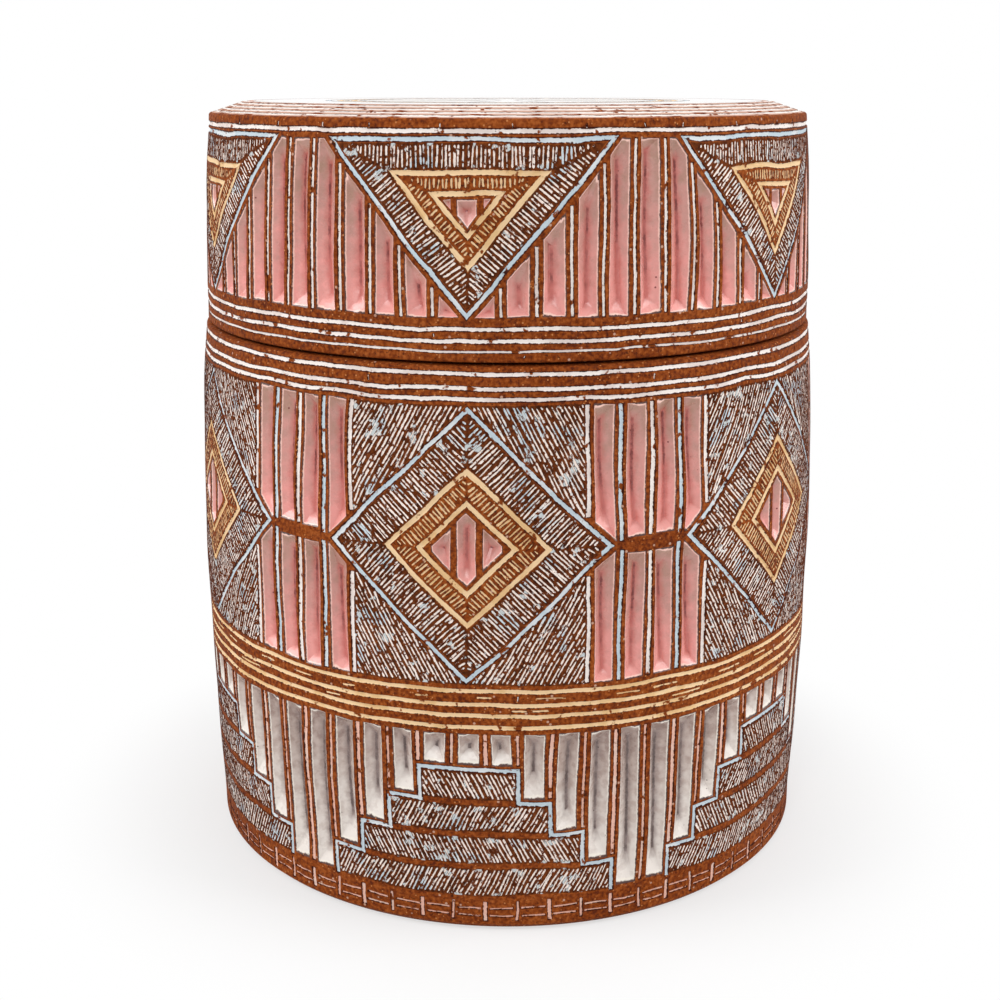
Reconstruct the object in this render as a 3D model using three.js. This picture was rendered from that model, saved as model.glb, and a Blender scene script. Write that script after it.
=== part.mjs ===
// A lidded stoneware jar: a barrel-walled body with a raised collar, and a deep flat-topped lid that drops
// over the collar and rests on the body's shoulder. Millimetres, +Z up, origin at the centre of the foot.
import * as THREE from "three";

// Overall form. Each taper is how much narrower the wall is there than the width it is measured from.
const bodyHeight = 128; // from the foot to the shoulder that the lid rests on
const lidHeight = 50;
const bellyRadius = 76.3;
const bellyHeight = 60;
const footTaper = 1.3; // foot, from the belly
const turnTaper = 1.1; // where the wall starts to lean in, from the belly
const turnDrop = 23; // how far that is below the shoulder
const shoulderTaper = 2.9; // shoulder, from the belly
const lidSetback = 0.5; // lid mouth, from the shoulder
const lidMiddleTaper = 0.7; // middle of the lid, from its mouth
const lidRimTaper = 2.5; // rim of the lid, from its mouth

// Walls
const bodyWall = 6.5;
const floorThickness = 8;
const lidWall = 6.5;
const lidTopThickness = 7;

// Lid top: a sloping bevel between the rounded rim and the flat table
const bevelRun = 7.3;
const bevelRise = 2.4;
const rimRound = 0.7;

// Seat: the collar that locates the lid, the ring that carries it, and the relief outside that ring, which
// leaves a shadow line at the seam
const collarHeight = 10;
const collarThickness = 4.5;
const collarClearance = 1; // round the collar, inside the lid's bore
const collarSkirt = 9; // depth of the tapered web that carries the collar inside the body
const seatWidth = 3; // of the ring of the shoulder that touches the lid
const seatRelief = 0.6; // how far the shoulder drops outside that ring
const shoulderEaseRun = 1.4; // eased outer edge of the shoulder
const shoulderEaseRise = 0.6;
const lidMouthRound = 0.6; // lower outer edge of the lid

// Foot and inside corners
const footChamfer = 1.4;
const footRingWidth = 15;
const footRecess = 1.2;
const floorFillet = 9;
const lidFillet = 7;

// Facets
const turnSteps = 64;
const arcSteps = 4;
const wallSteps = 2; // for each point of a wall curve
const leastStep = 2; // between a corner and the next wall point inside

const footRadius = bellyRadius - footTaper;
const turnRadius = bellyRadius - turnTaper;
const shoulderRadius = bellyRadius - shoulderTaper;
const lidMouthRadius = shoulderRadius - lidSetback;
const lidMiddleRadius = lidMouthRadius - lidMiddleTaper;
const lidRimRadius = lidMouthRadius - lidRimTaper;
const lidBoreRadius = lidMouthRadius - lidWall;
const collarRadius = lidBoreRadius - collarClearance;
const mouthRadius = collarRadius - collarThickness;
const seatRadius = lidBoreRadius + seatWidth;
const ledgeRadius = shoulderRadius - shoulderEaseRun;
const ledgeHeight = bodyHeight - seatRelief;
const wallTop = ledgeHeight - shoulderEaseRise;
const overallHeight = bodyHeight + lidHeight;
const rimHeight = overallHeight - bevelRise;
const ceilingHeight = overallHeight - lidTopThickness;

const point = (radius, height) => new THREE.Vector2(radius, height);

// A smooth wall through its widths, as points from the bottom up.
function wallThrough(...widths) {
  return new THREE.SplineCurve(widths).getPoints(wallSteps * widths.length);
}

// The outside of the body, from the chamfer of the foot to the eased edge of the shoulder.
const bodyOutside = wallThrough(
  point(footRadius, footChamfer),
  point(bellyRadius, bellyHeight),
  point(turnRadius, bodyHeight - turnDrop),
  point(shoulderRadius, wallTop),
);

// The outside of the lid, from the rounded edge of its mouth to the start of the rounded rim.
const lidOutside = wallThrough(
  point(lidMouthRadius, bodyHeight + lidMouthRound),
  point(lidMiddleRadius, (bodyHeight + rimHeight) / 2),
  point(lidRimRadius, rimHeight - rimRound),
);

// Radius of a wall at a height, on the straight step between two of its points.
function radiusAt(wall, height) {
  const above = wall.findIndex((p) => p.y >= height);
  const [low, high] = [wall[above - 1], wall[above]];
  return low.x + ((high.x - low.x) * (height - low.y)) / (high.y - low.y);
}

// The inner face of a wall between two heights, as points from the top down.
function insideOf(wall, thickness, lowest, highest) {
  return wall
    .filter((p) => p.y > lowest + leastStep && p.y < highest - leastStep)
    .map((p) => point(p.x - thickness, p.y))
    .reverse();
}

// A quarter of an ellipse about a centre, from one angle to another, as points.
function quarter(centre, width, height, start, end) {
  const clockwise = end < start;
  const arc = new THREE.EllipseCurve(centre.x, centre.y, width, height, start, end, clockwise);
  return arc.getPoints(arcSteps);
}

// Half profile of the body, from the middle of the foot round the outside to the middle of the floor.
function bodyProfile() {
  const footRingRadius = footRadius - footRingWidth;
  const collarTop = bodyHeight + collarHeight;
  const collarRound = collarThickness / 2;
  const collarCrown = point(mouthRadius + collarRound, collarTop - collarRound);
  const skirtFoot = wallTop - collarSkirt;
  const floorCorner = floorThickness + floorFillet;
  const floorRadius = radiusAt(bodyOutside, floorCorner) - bodyWall - floorFillet;
  return [
    point(0, footRecess),
    point(footRingRadius - footRecess, footRecess),
    point(footRingRadius, 0),
    point(footRadius - footChamfer, 0),
    ...bodyOutside,
    ...quarter(point(ledgeRadius, wallTop), shoulderEaseRun, shoulderEaseRise, 0, Math.PI / 2),
    point(seatRadius, ledgeHeight),
    point(seatRadius, bodyHeight),
    point(collarRadius, bodyHeight),
    ...quarter(collarCrown, collarRound, collarRound, 0, Math.PI / 2),
    ...quarter(collarCrown, collarRound, collarRound, Math.PI / 2, Math.PI),
    point(mouthRadius, wallTop),
    point(radiusAt(bodyOutside, skirtFoot) - bodyWall, skirtFoot),
    ...insideOf(bodyOutside, bodyWall, floorCorner, skirtFoot),
    ...quarter(point(floorRadius, floorCorner), floorFillet, floorFillet, 0, -Math.PI / 2),
    point(0, floorThickness),
  ];
}

// Half profile of the lid, from the middle of its ceiling down the bore and round the outside to the middle
// of its top.
function lidProfile() {
  const ceilingCorner = ceilingHeight - lidFillet;
  const ceilingRadius = radiusAt(lidOutside, ceilingCorner) - lidWall - lidFillet;
  const mouthCentre = point(lidMouthRadius - lidMouthRound, bodyHeight + lidMouthRound);
  const rimCentre = point(lidRimRadius - rimRound, rimHeight - rimRound);
  return [
    point(0, ceilingHeight),
    ...quarter(point(ceilingRadius, ceilingCorner), lidFillet, lidFillet, Math.PI / 2, 0),
    ...insideOf(lidOutside, lidWall, bodyHeight, ceilingCorner),
    point(lidBoreRadius, bodyHeight),
    ...quarter(mouthCentre, lidMouthRound, lidMouthRound, -Math.PI / 2, 0),
    ...lidOutside,
    ...quarter(rimCentre, rimRound, rimRound, 0, Math.PI / 2),
    point(rimCentre.x - bevelRun, overallHeight),
    point(0, overallHeight),
  ];
}

// A closed solid of revolution about +Z. Neighbouring stretches of a profile share their end point, which is
// kept once.
function revolve(profile) {
  const apart = profile.filter((p, i) => i === 0 || !p.equals(profile[i - 1]));
  return new THREE.LatheGeometry(apart, turnSteps).rotateX(Math.PI / 2);
}

// A fired clay piece, named for the node it becomes.
function claywork(name, profile) {
  const clay = new THREE.MeshStandardMaterial({ color: 0x9a5226, roughness: 0.85, metalness: 0 });
  const mesh = new THREE.Mesh(revolve(profile), clay);
  mesh.name = name;
  return mesh;
}

const jar = new THREE.Group();
jar.add(claywork("jar_body", bodyProfile()));
jar.add(claywork("lid", lidProfile()));

export default jar;
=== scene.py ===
"""Looks of a carved, inlaid and part-glazed stoneware jar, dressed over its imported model.

The decoration is drawn and cut on flat clay, in millimetres, then wrapped round the wall or laid on the
lid's top.
"""

from __future__ import annotations

import logging
import math
from dataclasses import dataclass, field
from enum import Enum
from typing import Iterable, Sequence

import bmesh
import bpy
import numpy as np
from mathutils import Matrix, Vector
from mathutils.geometry import delaunay_2d_cdt

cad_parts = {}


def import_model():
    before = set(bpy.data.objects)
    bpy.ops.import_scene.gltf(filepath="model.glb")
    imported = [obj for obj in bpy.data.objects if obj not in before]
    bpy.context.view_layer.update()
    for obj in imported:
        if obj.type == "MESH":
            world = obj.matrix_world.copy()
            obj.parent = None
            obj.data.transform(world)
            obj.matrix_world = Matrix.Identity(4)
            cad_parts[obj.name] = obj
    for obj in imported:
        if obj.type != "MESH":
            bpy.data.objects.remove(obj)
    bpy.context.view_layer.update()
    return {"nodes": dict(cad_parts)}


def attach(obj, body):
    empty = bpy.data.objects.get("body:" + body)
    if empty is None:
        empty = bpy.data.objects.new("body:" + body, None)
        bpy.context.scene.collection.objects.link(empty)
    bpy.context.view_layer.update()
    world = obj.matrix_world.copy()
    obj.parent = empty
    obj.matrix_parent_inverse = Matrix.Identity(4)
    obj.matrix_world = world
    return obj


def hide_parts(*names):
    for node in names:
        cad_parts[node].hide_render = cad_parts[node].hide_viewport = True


LOG = logging.getLogger("carved_jar")
MM = 0.001

COLUMNS = 240  # round the jar, where carved clay meets turned clay
STEEP = 6.5  # least rise over run of a wall's profile
OUTSIDE = 0.94  # share of a piece's greatest radius past which its outer wall lies
TINY = 0.01  # mm, within which a place lies on the axis or on a plane through it
ALIKE = 0.02  # mm, within which two corners of an outline are one
WELD = 0.002  # mm, within which the edges of two stretches are joined
NET_WELD = 1e-5  # mm, within which two places of a net are one
LEVEL = 1e-9  # change over a millimetre under which a side lies along the strokes
FAR = 1e3  # mm, past the edge of any field
SHORTEST_LINE = 2.0  # mm
HALVINGS = 12  # in the search for a radius
CREASE = math.radians(28)  # between two faces, past which their edge is sharp
BAKE_MAP = "OFBake"
SHADE = "shade"  # 0 on the skin of the clay, 1 at the bottom of a cut
RUN = "run"  # 0 at the head of a gouge, 1 at its foot
HALFWAY = 0.5  # down a cut or along it, for a place that no one gouge sets

Point = tuple[float, float]
Outline = list[Point]
Colour = tuple[float, float, float]
Room = tuple[float, float, float, float]  # left, low, right and high on the bake's map
Spots = tuple[float, float, float]  # cell in mm, a spot's radius in cells, share of cells with a spot
Waves = tuple[tuple[float, float, float], ...]  # size in mm, detail and height in mm of fine relief
Socket = bpy.types.NodeSocket


class Finish(Enum):
    """What covers a face, by material slot. A later one lies over an earlier one."""

    CLAY = 0
    WASH = 1
    GROUND = 2
    LINER = 3
    TOP = 4
    PETAL = 5
    WHITE = 6
    FROST = 7
    BLUE = 8
    OCHRE = 9
    ROSE = 10
    PINK = 11
    GREY = 12


@dataclass(frozen=True)
class Side:
    """A straight cut across flat clay, which keeps what lies at least a gap to its left."""

    start: Point
    end: Point
    gap: float = 0.0

    def reach(self, place: Point) -> float:
        """Say how far a place lies past the gap.

        Args:
            place: A place on the flat clay.

        Returns:
            The distance in millimetres, below 0 for what the cut takes off.
        """
        along = (self.end[0] - self.start[0], self.end[1] - self.start[1])
        across = (place[0] - self.start[0], place[1] - self.start[1])
        return (along[0] * across[1] - along[1] * across[0]) / math.hypot(*along) - self.gap


def rectangle(left: float, low: float, right: float, high: float) -> Outline:
    """Return the corners of an upright rectangle, counter-clockwise."""
    return [(left, low), (right, low), (right, high), (left, high)]


def sides_of(outline: Outline, gap: float = 0.0) -> list[Side]:
    """Return each side of an outline as a cut that keeps its inside."""
    return [Side(a, b, gap) for a, b in zip(outline, outline[1:] + outline[:1])]


def between(a: Point, b: Point, share: float) -> Point:
    """Return the place that lies a share of the way from a to b."""
    return (a[0] + (b[0] - a[0]) * share, a[1] + (b[1] - a[1]) * share)


def trimmed(outline: Outline, cuts: Iterable[Side]) -> Outline:
    """Trim a convex outline by straight cuts.

    Args:
        outline: Corners, counter-clockwise.
        cuts: The cuts to make.

    Returns:
        The corners that are left, or an empty list.
    """
    for cut in cuts:
        kept: Outline = []
        for here, after in zip(outline, outline[1:] + outline[:1]):
            near, far = cut.reach(here), cut.reach(after)
            if near >= 0:
                kept.append(here)
            if near * far < 0:
                kept.append(between(here, after, near / (near - far)))
        outline = kept
    return [p for i, p in enumerate(outline) if math.dist(p, outline[i - 1]) > ALIKE]


def shrunk(outline: Outline, distance: float) -> Outline:
    """Return a convex outline drawn in by a distance on every side."""
    return trimmed(outline, sides_of(outline, distance))


def inner_radius(outline: Outline) -> float:
    """Find the largest circle inside a convex outline.

    Args:
        outline: Its corners, counter-clockwise.

    Returns:
        The circle's radius.
    """
    low, high = 0.0, max(math.dist(outline[0], p) for p in outline)
    for _ in range(HALVINGS):
        middle = (low + high) / 2
        low, high = (middle, high) if len(shrunk(outline, middle)) > 2 else (low, middle)
    return low


def drawn_in(corners: Outline, distance: float) -> Outline:
    """Draw a figure in by a distance.

    Args:
        corners: The figure's corners, counter-clockwise.
        distance: How far each side moves in.

    Returns:
        The new corners, one for each of its own.
    """
    made: Outline = []
    for i, (x, y) in enumerate(corners):
        before, after = corners[i - 1], corners[(i + 1) % len(corners)]
        come, go = math.dist(before, (x, y)), math.dist((x, y), after)
        first = (-(y - before[1]) / come, (x - before[0]) / come)
        second = (-(after[1] - y) / go, (after[0] - x) / go)
        share = distance / (1 + first[0] * second[0] + first[1] * second[1])
        made.append((x + share * (first[0] + second[0]), y + share * (first[1] + second[1])))
    return made


def cut_run(start: Point, end: Point, cuts: Sequence[Side]) -> list[Point]:
    """Shorten a straight run to what straight cuts keep.

    Args:
        start: One end.
        end: The other end.
        cuts: The cuts.

    Returns:
        The two ends that are left, or an empty list where too little is left for a line.
    """
    low, high = 0.0, 1.0
    for cut in cuts:
        near, far = cut.reach(start), cut.reach(end)
        if near < 0 and far < 0:
            return []
        if near * far < 0:
            meets = near / (near - far)
            low, high = (max(low, meets), high) if near < 0 else (low, min(high, meets))
    ends = [between(start, end, low), between(start, end, high)]
    return ends if high > low and math.dist(*ends) > SHORTEST_LINE else []


def stepped(points: Sequence[Point], step: float, closed: bool) -> Outline:
    """Add places along a line, so that none is further than a step from the next.

    Args:
        points: The corners of the line.
        step: The longest step, in millimetres.
        closed: Whether the last corner runs back to the first.

    Returns:
        The corners with the places between them.
    """
    ends = list(points[1:]) + ([points[0]] if closed else [])
    made: Outline = []
    for a, b in zip(points, ends):
        count = max(1, math.ceil(math.dist(a, b) / step))
        made += [between(a, b, i / count) for i in range(count)]
    return made if closed else made + [points[-1]]


def polar(radius: float, degrees: float) -> Point:
    """Return a place on the flat lid top by its radius and its angle from +X."""
    return (radius * math.cos(math.radians(degrees)), radius * math.sin(math.radians(degrees)))


def centred(count: int) -> range:
    """Return the steps from the middle of an odd count of marks in a row."""
    return range(-(count // 2), count // 2 + 1)


def column_angles(turn: float) -> np.ndarray:
    """Return the angles of the columns round the jar, the first of them turned from the back."""
    return 2 * math.pi * np.arange(COLUMNS) / COLUMNS - math.pi + turn


@dataclass
class Sheet:
    """Flat clay once it is cut: a net of triangles with the depth and finish of every cut.

    For each place, marks holds its share of the way to the bottom of its cut, and its share of the way
    from the head to the foot of a gouge.
    """

    flat: np.ndarray
    depth: np.ndarray
    marks: np.ndarray
    triangles: np.ndarray
    finish: np.ndarray


@dataclass
class Carving:
    """Marks cut by hand into a flat sheet of clay, with their sizes in millimetres.

    Each kind of mark is a cut with its own section. A gouge has a V section and a slanted facet at its head
    and its foot, an inlaid line has steep walls and a flat floor, and a hatching stroke is a pointed scratch.
    """

    seed: int
    left: float = -math.inf  # ends of the sheet, past which nothing is cut
    right: float = math.inf
    ground: Finish = Finish.CLAY  # of the skin between the marks
    # Inset and depth as shares of half the gouge's width, and the share of the way to its bottom
    gouge_section: tuple[tuple[float, float, float], ...] = (
        (0.30, 0.31, 0.45),
        (0.80, 0.79, 0.86),
        (0.93, 0.84, 1.0),
    )
    gouge_least: float = 0.45  # half the width of the narrowest gouge
    gouge_step: float = 1.7  # between the places where a gouge's rim strays
    facet_run: tuple[float, float] = (0.8, 2.2)  # least and most, of the facet at a gouge's head
    ramp_run: tuple[float, float] = (0.3, 1.6)  # least and most, of the facet at its foot
    facet_slant: float = 0.55  # most fall over run of a facet's edge
    facet_full: float = 9.0  # length of a gouge from which its facets have their full run
    facet_most: float = 0.7  # of the way from a gouge's end to its deepest place
    # How far left of its middle a gouge is deepest, at its head and its foot, in shares of half its width
    sway: tuple[tuple[float, float], tuple[float, float]] = ((-0.12, 0.22), (-0.44, 0.14))
    sway_power: int = 3  # by which the sway gathers towards the foot
    bed_from: float = 0.5  # share of the way to the bottom from which a gouge sways
    line_depth: float = 0.30
    line_wall: float = 0.44
    line_wall_most: float = 0.6  # of half the line's width
    line_edge: float = 0.33  # how far the walls' tops lie outside the slip
    line_swell: float = 0.09  # spread of a line's width, as a share of it
    line_ramp: float = 0.35  # at a line's ends, over which the floor climbs out of the clay
    mitre_least: float = 0.2  # which keeps a line from shooting out at a sharp corner
    stroke_depth: float = 0.20
    stroke_width: tuple[float, float] = (0.37, 0.54)
    stroke_swell: tuple[float, float] = (0.72, 1.22)  # of half its width
    stroke_length: tuple[float, float] = (5.0, 24.0)
    stroke_step: float = 3.4  # between the places where a stroke wavers
    stroke_tip: float = 0.3  # length of its points
    stroke_tip_most: float = 0.25  # of the stroke's length
    stroke_least: float = 0.5  # length of the shortest stroke
    stroke_break: tuple[float, float] = (0.12, 0.45)  # between the strokes of a broken line
    stroke_rest: float = 0.7  # end of a broken line that is left bare
    stroke_join: float = 1.2  # end of a broken line that is added to its last stroke
    stroke_inset: float = 0.25  # most room at the ends of a broken line
    stroke_stray: float = 0.11
    pitch_stray: float = 0.14  # of the distance from stroke to stroke
    field_edge: float = 0.12
    field_least: float = 0.5  # half the width of the narrowest hatched field
    longest: float = 4.0  # side of a triangle, so that the net follows the wall's curve
    refinings: int = 4  # of the net, at most
    unsteady: float = 0.07  # how far a hand strays
    points: Outline = field(default_factory=list)
    depths: list[float] = field(default_factory=list)
    shades: list[float] = field(default_factory=list)
    runs: list[float] = field(default_factory=list)
    edges: list[tuple[int, int]] = field(default_factory=list)
    faces: list[list[int]] = field(default_factory=list)
    finishes: list[Finish] = field(default_factory=list)

    def __post_init__(self) -> None:
        """Start the hand's own random draws."""
        self.hand = np.random.default_rng(self.seed)

    def place(self, points: Iterable[Point], depth: float = 0.0, shade: float = 0.0) -> list[int]:
        """Put places on the sheet at one depth.

        Args:
            points: The places.
            depth: Their depth under the skin of the clay.
            shade: Their share of the way to the bottom of the cut.

        Returns:
            Their numbers.
        """
        first = len(self.points)
        self.points += points
        added = len(self.points) - first
        self.depths += [depth] * added
        self.shades += [shade] * added
        self.runs += [HALFWAY] * added
        return list(range(first, first + added))

    def chain(self, numbers: Sequence[int], closed: bool = False) -> None:
        """Join places into a line that the net keeps.

        Args:
            numbers: The places' numbers, in order.
            closed: Whether the last place is joined to the first.
        """
        self.edges += list(zip(numbers, numbers[1:]))
        if closed:
            self.edges.append((numbers[-1], numbers[0]))

    def cover(self, numbers: list[int], finish: Finish) -> None:
        """Give what lies inside a loop of places a finish."""
        self.faces.append(numbers)
        self.finishes.append(finish)

    def holds(self, points: Iterable[Point]) -> bool:
        """Say whether all places lie on the sheet."""
        return all(self.left < x < self.right for x, _ in points)

    def strayed(self, point: Point, most: float) -> Point:
        """Return a place moved as an unsteady hand would."""
        return (point[0] + self.hand.uniform(-most, most), point[1] + self.hand.uniform(-most, most))

    def gouge(self, outline: Outline, finish: Finish, ramp_run: Point | None = None) -> None:
        """Cut a V-shaped gouge with a slanted facet at its head and its foot, to be glazed.

        Args:
            outline: Its convex outline on the clay, counter-clockwise.
            finish: The glaze that fills it.
            ramp_run: The least and the most run of the facet at its foot, if not the usual.
        """
        if len(outline) < 3 or inner_radius(outline) < self.gouge_least or not self.holds(outline):
            return
        outline = [self.strayed(p, 2 * self.unsteady) for p in outline]
        half = inner_radius(outline)
        foot, head = min(y for _, y in outline), max(y for _, y in outline)
        short = min(1.0, (head - foot) / self.facet_full)
        facets = [self.hand.uniform(*run) * short for run in (ramp_run or self.ramp_run, self.facet_run)]
        slants = [self.hand.uniform(-self.facet_slant, self.facet_slant) * short for _ in facets]
        at_head, at_foot = (self.hand.uniform(*reach) * half for reach in self.sway)
        levels = [shrunk(outline, inset * half) for inset, _, _ in self.gouge_section]
        if min(len(level) for level in levels) < 3:
            return
        deepest = sum(y for _, y in levels[-1]) / len(levels[-1])
        rings = [(outline, 0.0, 0.0)]
        for level, (inset, depth, shade) in zip(levels, self.gouge_section):
            middle = sum(x for x, _ in level) / len(level)
            cuts = []
            for way, facet, slant in zip((-1, 1), facets, slants):
                end = way * max(way * y for _, y in level)
                height = end - way * min(inset * facet, self.facet_most * abs(end - deepest))
                cuts.append(Side((middle, height), (middle - way, height - way * slant)))
            level = trimmed(level, cuts)
            if len(level) < 3:
                return
            rings.append((level, depth * half, shade))
        outer: list[int] = []
        for corners, depth, shade in rings:
            places = stepped(corners, self.longest if outer else self.gouge_step, True)
            sharp = [p in corners for p in places]
            runs = [(head - y) / (head - foot) for _, y in places]
            if not outer:
                places = [p if kept else self.strayed(p, self.unsteady) for p, kept in zip(places, sharp)]
            elif shade > self.bed_from:
                aside = [at_head + (at_foot - at_head) * run ** self.sway_power for run in runs]
                places = [(x - by, y) for (x, y), by in zip(places, aside)]
            ring = self.place(places, depth, shade)
            self.runs[ring[0]:] = runs
            inner = [i for i, kept in zip(ring, sharp) if kept]
            if outer:
                self.chain(ring, closed=True)
                self.hips(outer, inner)
            else:
                self.cover(ring, finish)
            outer = inner

    def hips(self, outer: list[int], inner: list[int]) -> None:
        """Join each corner of a ring of places to the nearest corner of the ring inside it.

        Args:
            outer: The outer corners' numbers.
            inner: The inner corners' numbers.
        """
        for i in outer:
            nearest = min(inner, key=lambda j: math.dist(self.points[i], self.points[j]))
            self.edges.append((i, nearest))

    def line(
        self,
        path: Sequence[Point],
        width: float,
        finish: Finish,
        closed: bool = False,
        round_pot: bool = False,
    ) -> None:
        """Cut a line with steep walls and a flat floor, to be filled with slip.

        Args:
            path: The corners of its middle.
            width: Its width on the clay.
            finish: The slip that fills it.
            closed: Whether it runs back to its start.
            round_pot: Whether it runs on from one end of the sheet to the other.
        """
        path = list(path)
        has_ends = not closed and not round_pot
        if not round_pot and not self.holds(path):
            return
        if has_ends:
            ends = (path[:2], path[:-3:-1])
            first, last = (between(a, b, self.line_ramp / math.dist(a, b)) for a, b in ends)
            path = [path[0], first, *path[1:-1], last, path[-1]]
        middle = np.array(stepped(path, self.longest, closed))
        ahead = np.roll(middle, -1, axis=0) - middle
        if not closed:
            ahead[-1] = ahead[-2]
        ahead /= np.linalg.norm(ahead, axis=1, keepdims=True)
        behind = np.roll(ahead, 1, axis=0)
        if not closed:
            behind[0] = ahead[0]
        left = np.stack([-(ahead + behind)[:, 1], (ahead + behind)[:, 0]], axis=1) / 2
        left /= np.maximum((left ** 2).sum(axis=1, keepdims=True), self.mitre_least)
        stray = self.hand.normal(0, self.unsteady, (len(middle), 1))
        swell = 1 + self.hand.normal(0, self.line_swell, (len(middle), 1))
        half = width / 2 * swell + min(self.line_edge, width / 2)
        if round_pot:
            stray[-1], half[-1] = stray[0], half[0]
        middle = middle + left * stray
        wall = np.minimum(self.line_wall, self.line_wall_most * half)
        rows = [middle + left * reach for reach in (half, half - wall, wall - half, -half)]
        outer_left, floor_left, floor_right, outer_right = (
            self.place([tuple(p) for p in row], depth, shade)
            for row, depth, shade in zip(rows, (0, self.line_depth, self.line_depth, 0), (0, 1, 1, 0))
        )
        if has_ends:
            for number in (floor_left[0], floor_left[-1], floor_right[0], floor_right[-1]):
                self.depths[number] = self.shades[number] = 0.0
        for row in (floor_left, floor_right):
            self.chain(row, closed)
        for i in range(len(middle) - (0 if closed else 1)):
            after = (i + 1) % len(middle)
            self.cover([outer_right[i], outer_right[after], outer_left[after], outer_left[i]], finish)

    def stroke(self, start: Point, end: Point, finish: Finish) -> None:
        """Scratch one pointed stroke.

        Args:
            start: One tip.
            end: The other tip.
            finish: The slip left in it.
        """
        long = math.dist(start, end)
        ahead = ((end[0] - start[0]) / long, (end[1] - start[1]) / long)
        tip = min(self.stroke_tip, self.stroke_tip_most * long)
        half = self.hand.uniform(*self.stroke_width) / 2
        places = np.linspace(tip, long - tip, max(2, 1 + round(long / self.stroke_step)))
        bends = self.hand.normal(0, self.unsteady, len(places))
        swell = half * self.hand.uniform(*self.stroke_swell, (2, len(places)))

        def at(run: float, across: float) -> Point:
            """Return the place a run along the stroke and a reach to its left."""
            place = (start[0] + ahead[0] * run, start[1] + ahead[1] * run)
            return (place[0] - ahead[1] * across, place[1] + ahead[0] * across)

        right = [at(run, bend - wide) for run, bend, wide in zip(places, bends, swell[0])]
        left = [at(run, bend + wide) for run, bend, wide in zip(places, bends, swell[1])]
        rim = self.place([start, *right, end, *left[::-1]])
        bed = self.place([at(run, bend) for run, bend in zip(places, bends)], self.stroke_depth, 1.0)
        self.chain(bed)
        self.cover(rim, finish)

    def hatch(
        self, outline: Outline, degrees: float, pitch: float, finish: Finish, ground: bool = True
    ) -> None:
        """Fill a convex field with broken parallel strokes.

        Args:
            outline: The field's corners, counter-clockwise.
            degrees: The way the strokes run, from the sheet's first axis.
            pitch: The distance from stroke to stroke.
            finish: The slip left in the strokes.
            ground: Whether slip also smears the clay between the strokes.
        """
        if len(outline) < 3 or inner_radius(outline) < self.field_least or not self.holds(outline):
            return
        if ground:
            self.cover(self.place(stepped(outline, self.longest, True)), Finish.GROUND)
        field_inside = shrunk(outline, self.field_edge)
        along = (math.cos(math.radians(degrees)), math.sin(math.radians(degrees)))
        across = (-along[1], along[0])
        offsets = [p[0] * across[0] + p[1] * across[1] for p in field_inside]
        if not offsets:
            return
        count = max(1, round((max(offsets) - min(offsets)) / pitch))
        spacing = (max(offsets) - min(offsets)) / count
        for i in range(count):
            stray = self.hand.uniform(-self.pitch_stray, self.pitch_stray)
            offset = min(offsets) + (i + 0.5 + stray) * spacing
            self.scratch_across(field_inside, along, (across[0] * offset, across[1] * offset), finish)

    def scratch_across(self, outline: Outline, along: Point, foot: Point, finish: Finish) -> None:
        """Scratch one broken line of strokes across a field.

        Args:
            outline: The field's corners, counter-clockwise.
            along: The way the line runs.
            foot: A place that the line runs through.
            finish: The slip left in the strokes.
        """
        low, high = -FAR, FAR
        for side in sides_of(outline):
            near = side.reach(foot)
            gain = side.reach((foot[0] + along[0], foot[1] + along[1])) - near
            if abs(gain) < LEVEL:
                continue
            meets = -near / gain
            low, high = (max(low, meets), high) if gain > 0 else (low, min(high, meets))
        run = low + self.hand.uniform(0, self.stroke_inset)
        while high - run > self.stroke_rest:
            stop = run + self.hand.uniform(*self.stroke_length)
            if high - stop < self.stroke_join:
                stop = high - self.hand.uniform(0, self.stroke_inset)
            if stop - run > self.stroke_least:
                ends = [(foot[0] + along[0] * t, foot[1] + along[1] * t) for t in (run, stop)]
                self.stroke(*(self.strayed(p, self.stroke_stray) for p in ends), finish)
            run = stop + self.hand.uniform(*self.stroke_break)

    def net(self) -> Sheet:
        """Join all marks into one net of triangles, made finer where plain clay has long sides.

        Returns:
            The cut sheet.
        """
        for _ in range(self.refinings):
            sheet = self.net_once()
            corners = sheet.flat[sheet.triangles]
            sides = np.linalg.norm(corners - np.roll(corners, 1, axis=1), axis=2).max(axis=1)
            wide = (sides > self.longest) & (sheet.finish <= Finish.GROUND.value)
            if not wide.any():
                break
            self.place([tuple(p) for p in corners[wide].mean(axis=1)])
        return sheet

    def net_once(self) -> Sheet:
        """Join all marks into a net of triangles.

        Where two cuts cross at no place of their own, the net has a place halfway down.

        Returns:
            The cut sheet.
        """
        flat, _, triangles, sources, _, covers = delaunay_2d_cdt(
            [Vector(p) for p in self.points], self.edges, self.faces, 0, NET_WELD, True
        )
        kinds = ((self.depths, self.line_depth), (self.shades, 1.0), (self.runs, 1.0))
        depth, *marks = (
            np.array([min((values[i] for i in found), default=HALFWAY * most) for found in sources])
            for values, most in kinds
        )
        bare = self.ground.value
        finish = [max((self.finishes[i].value for i in found), default=bare) for found in covers]
        places = np.array([tuple(p) for p in flat])
        return Sheet(places, depth, np.stack(marks, axis=1), np.array(triangles), np.array(finish))


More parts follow.
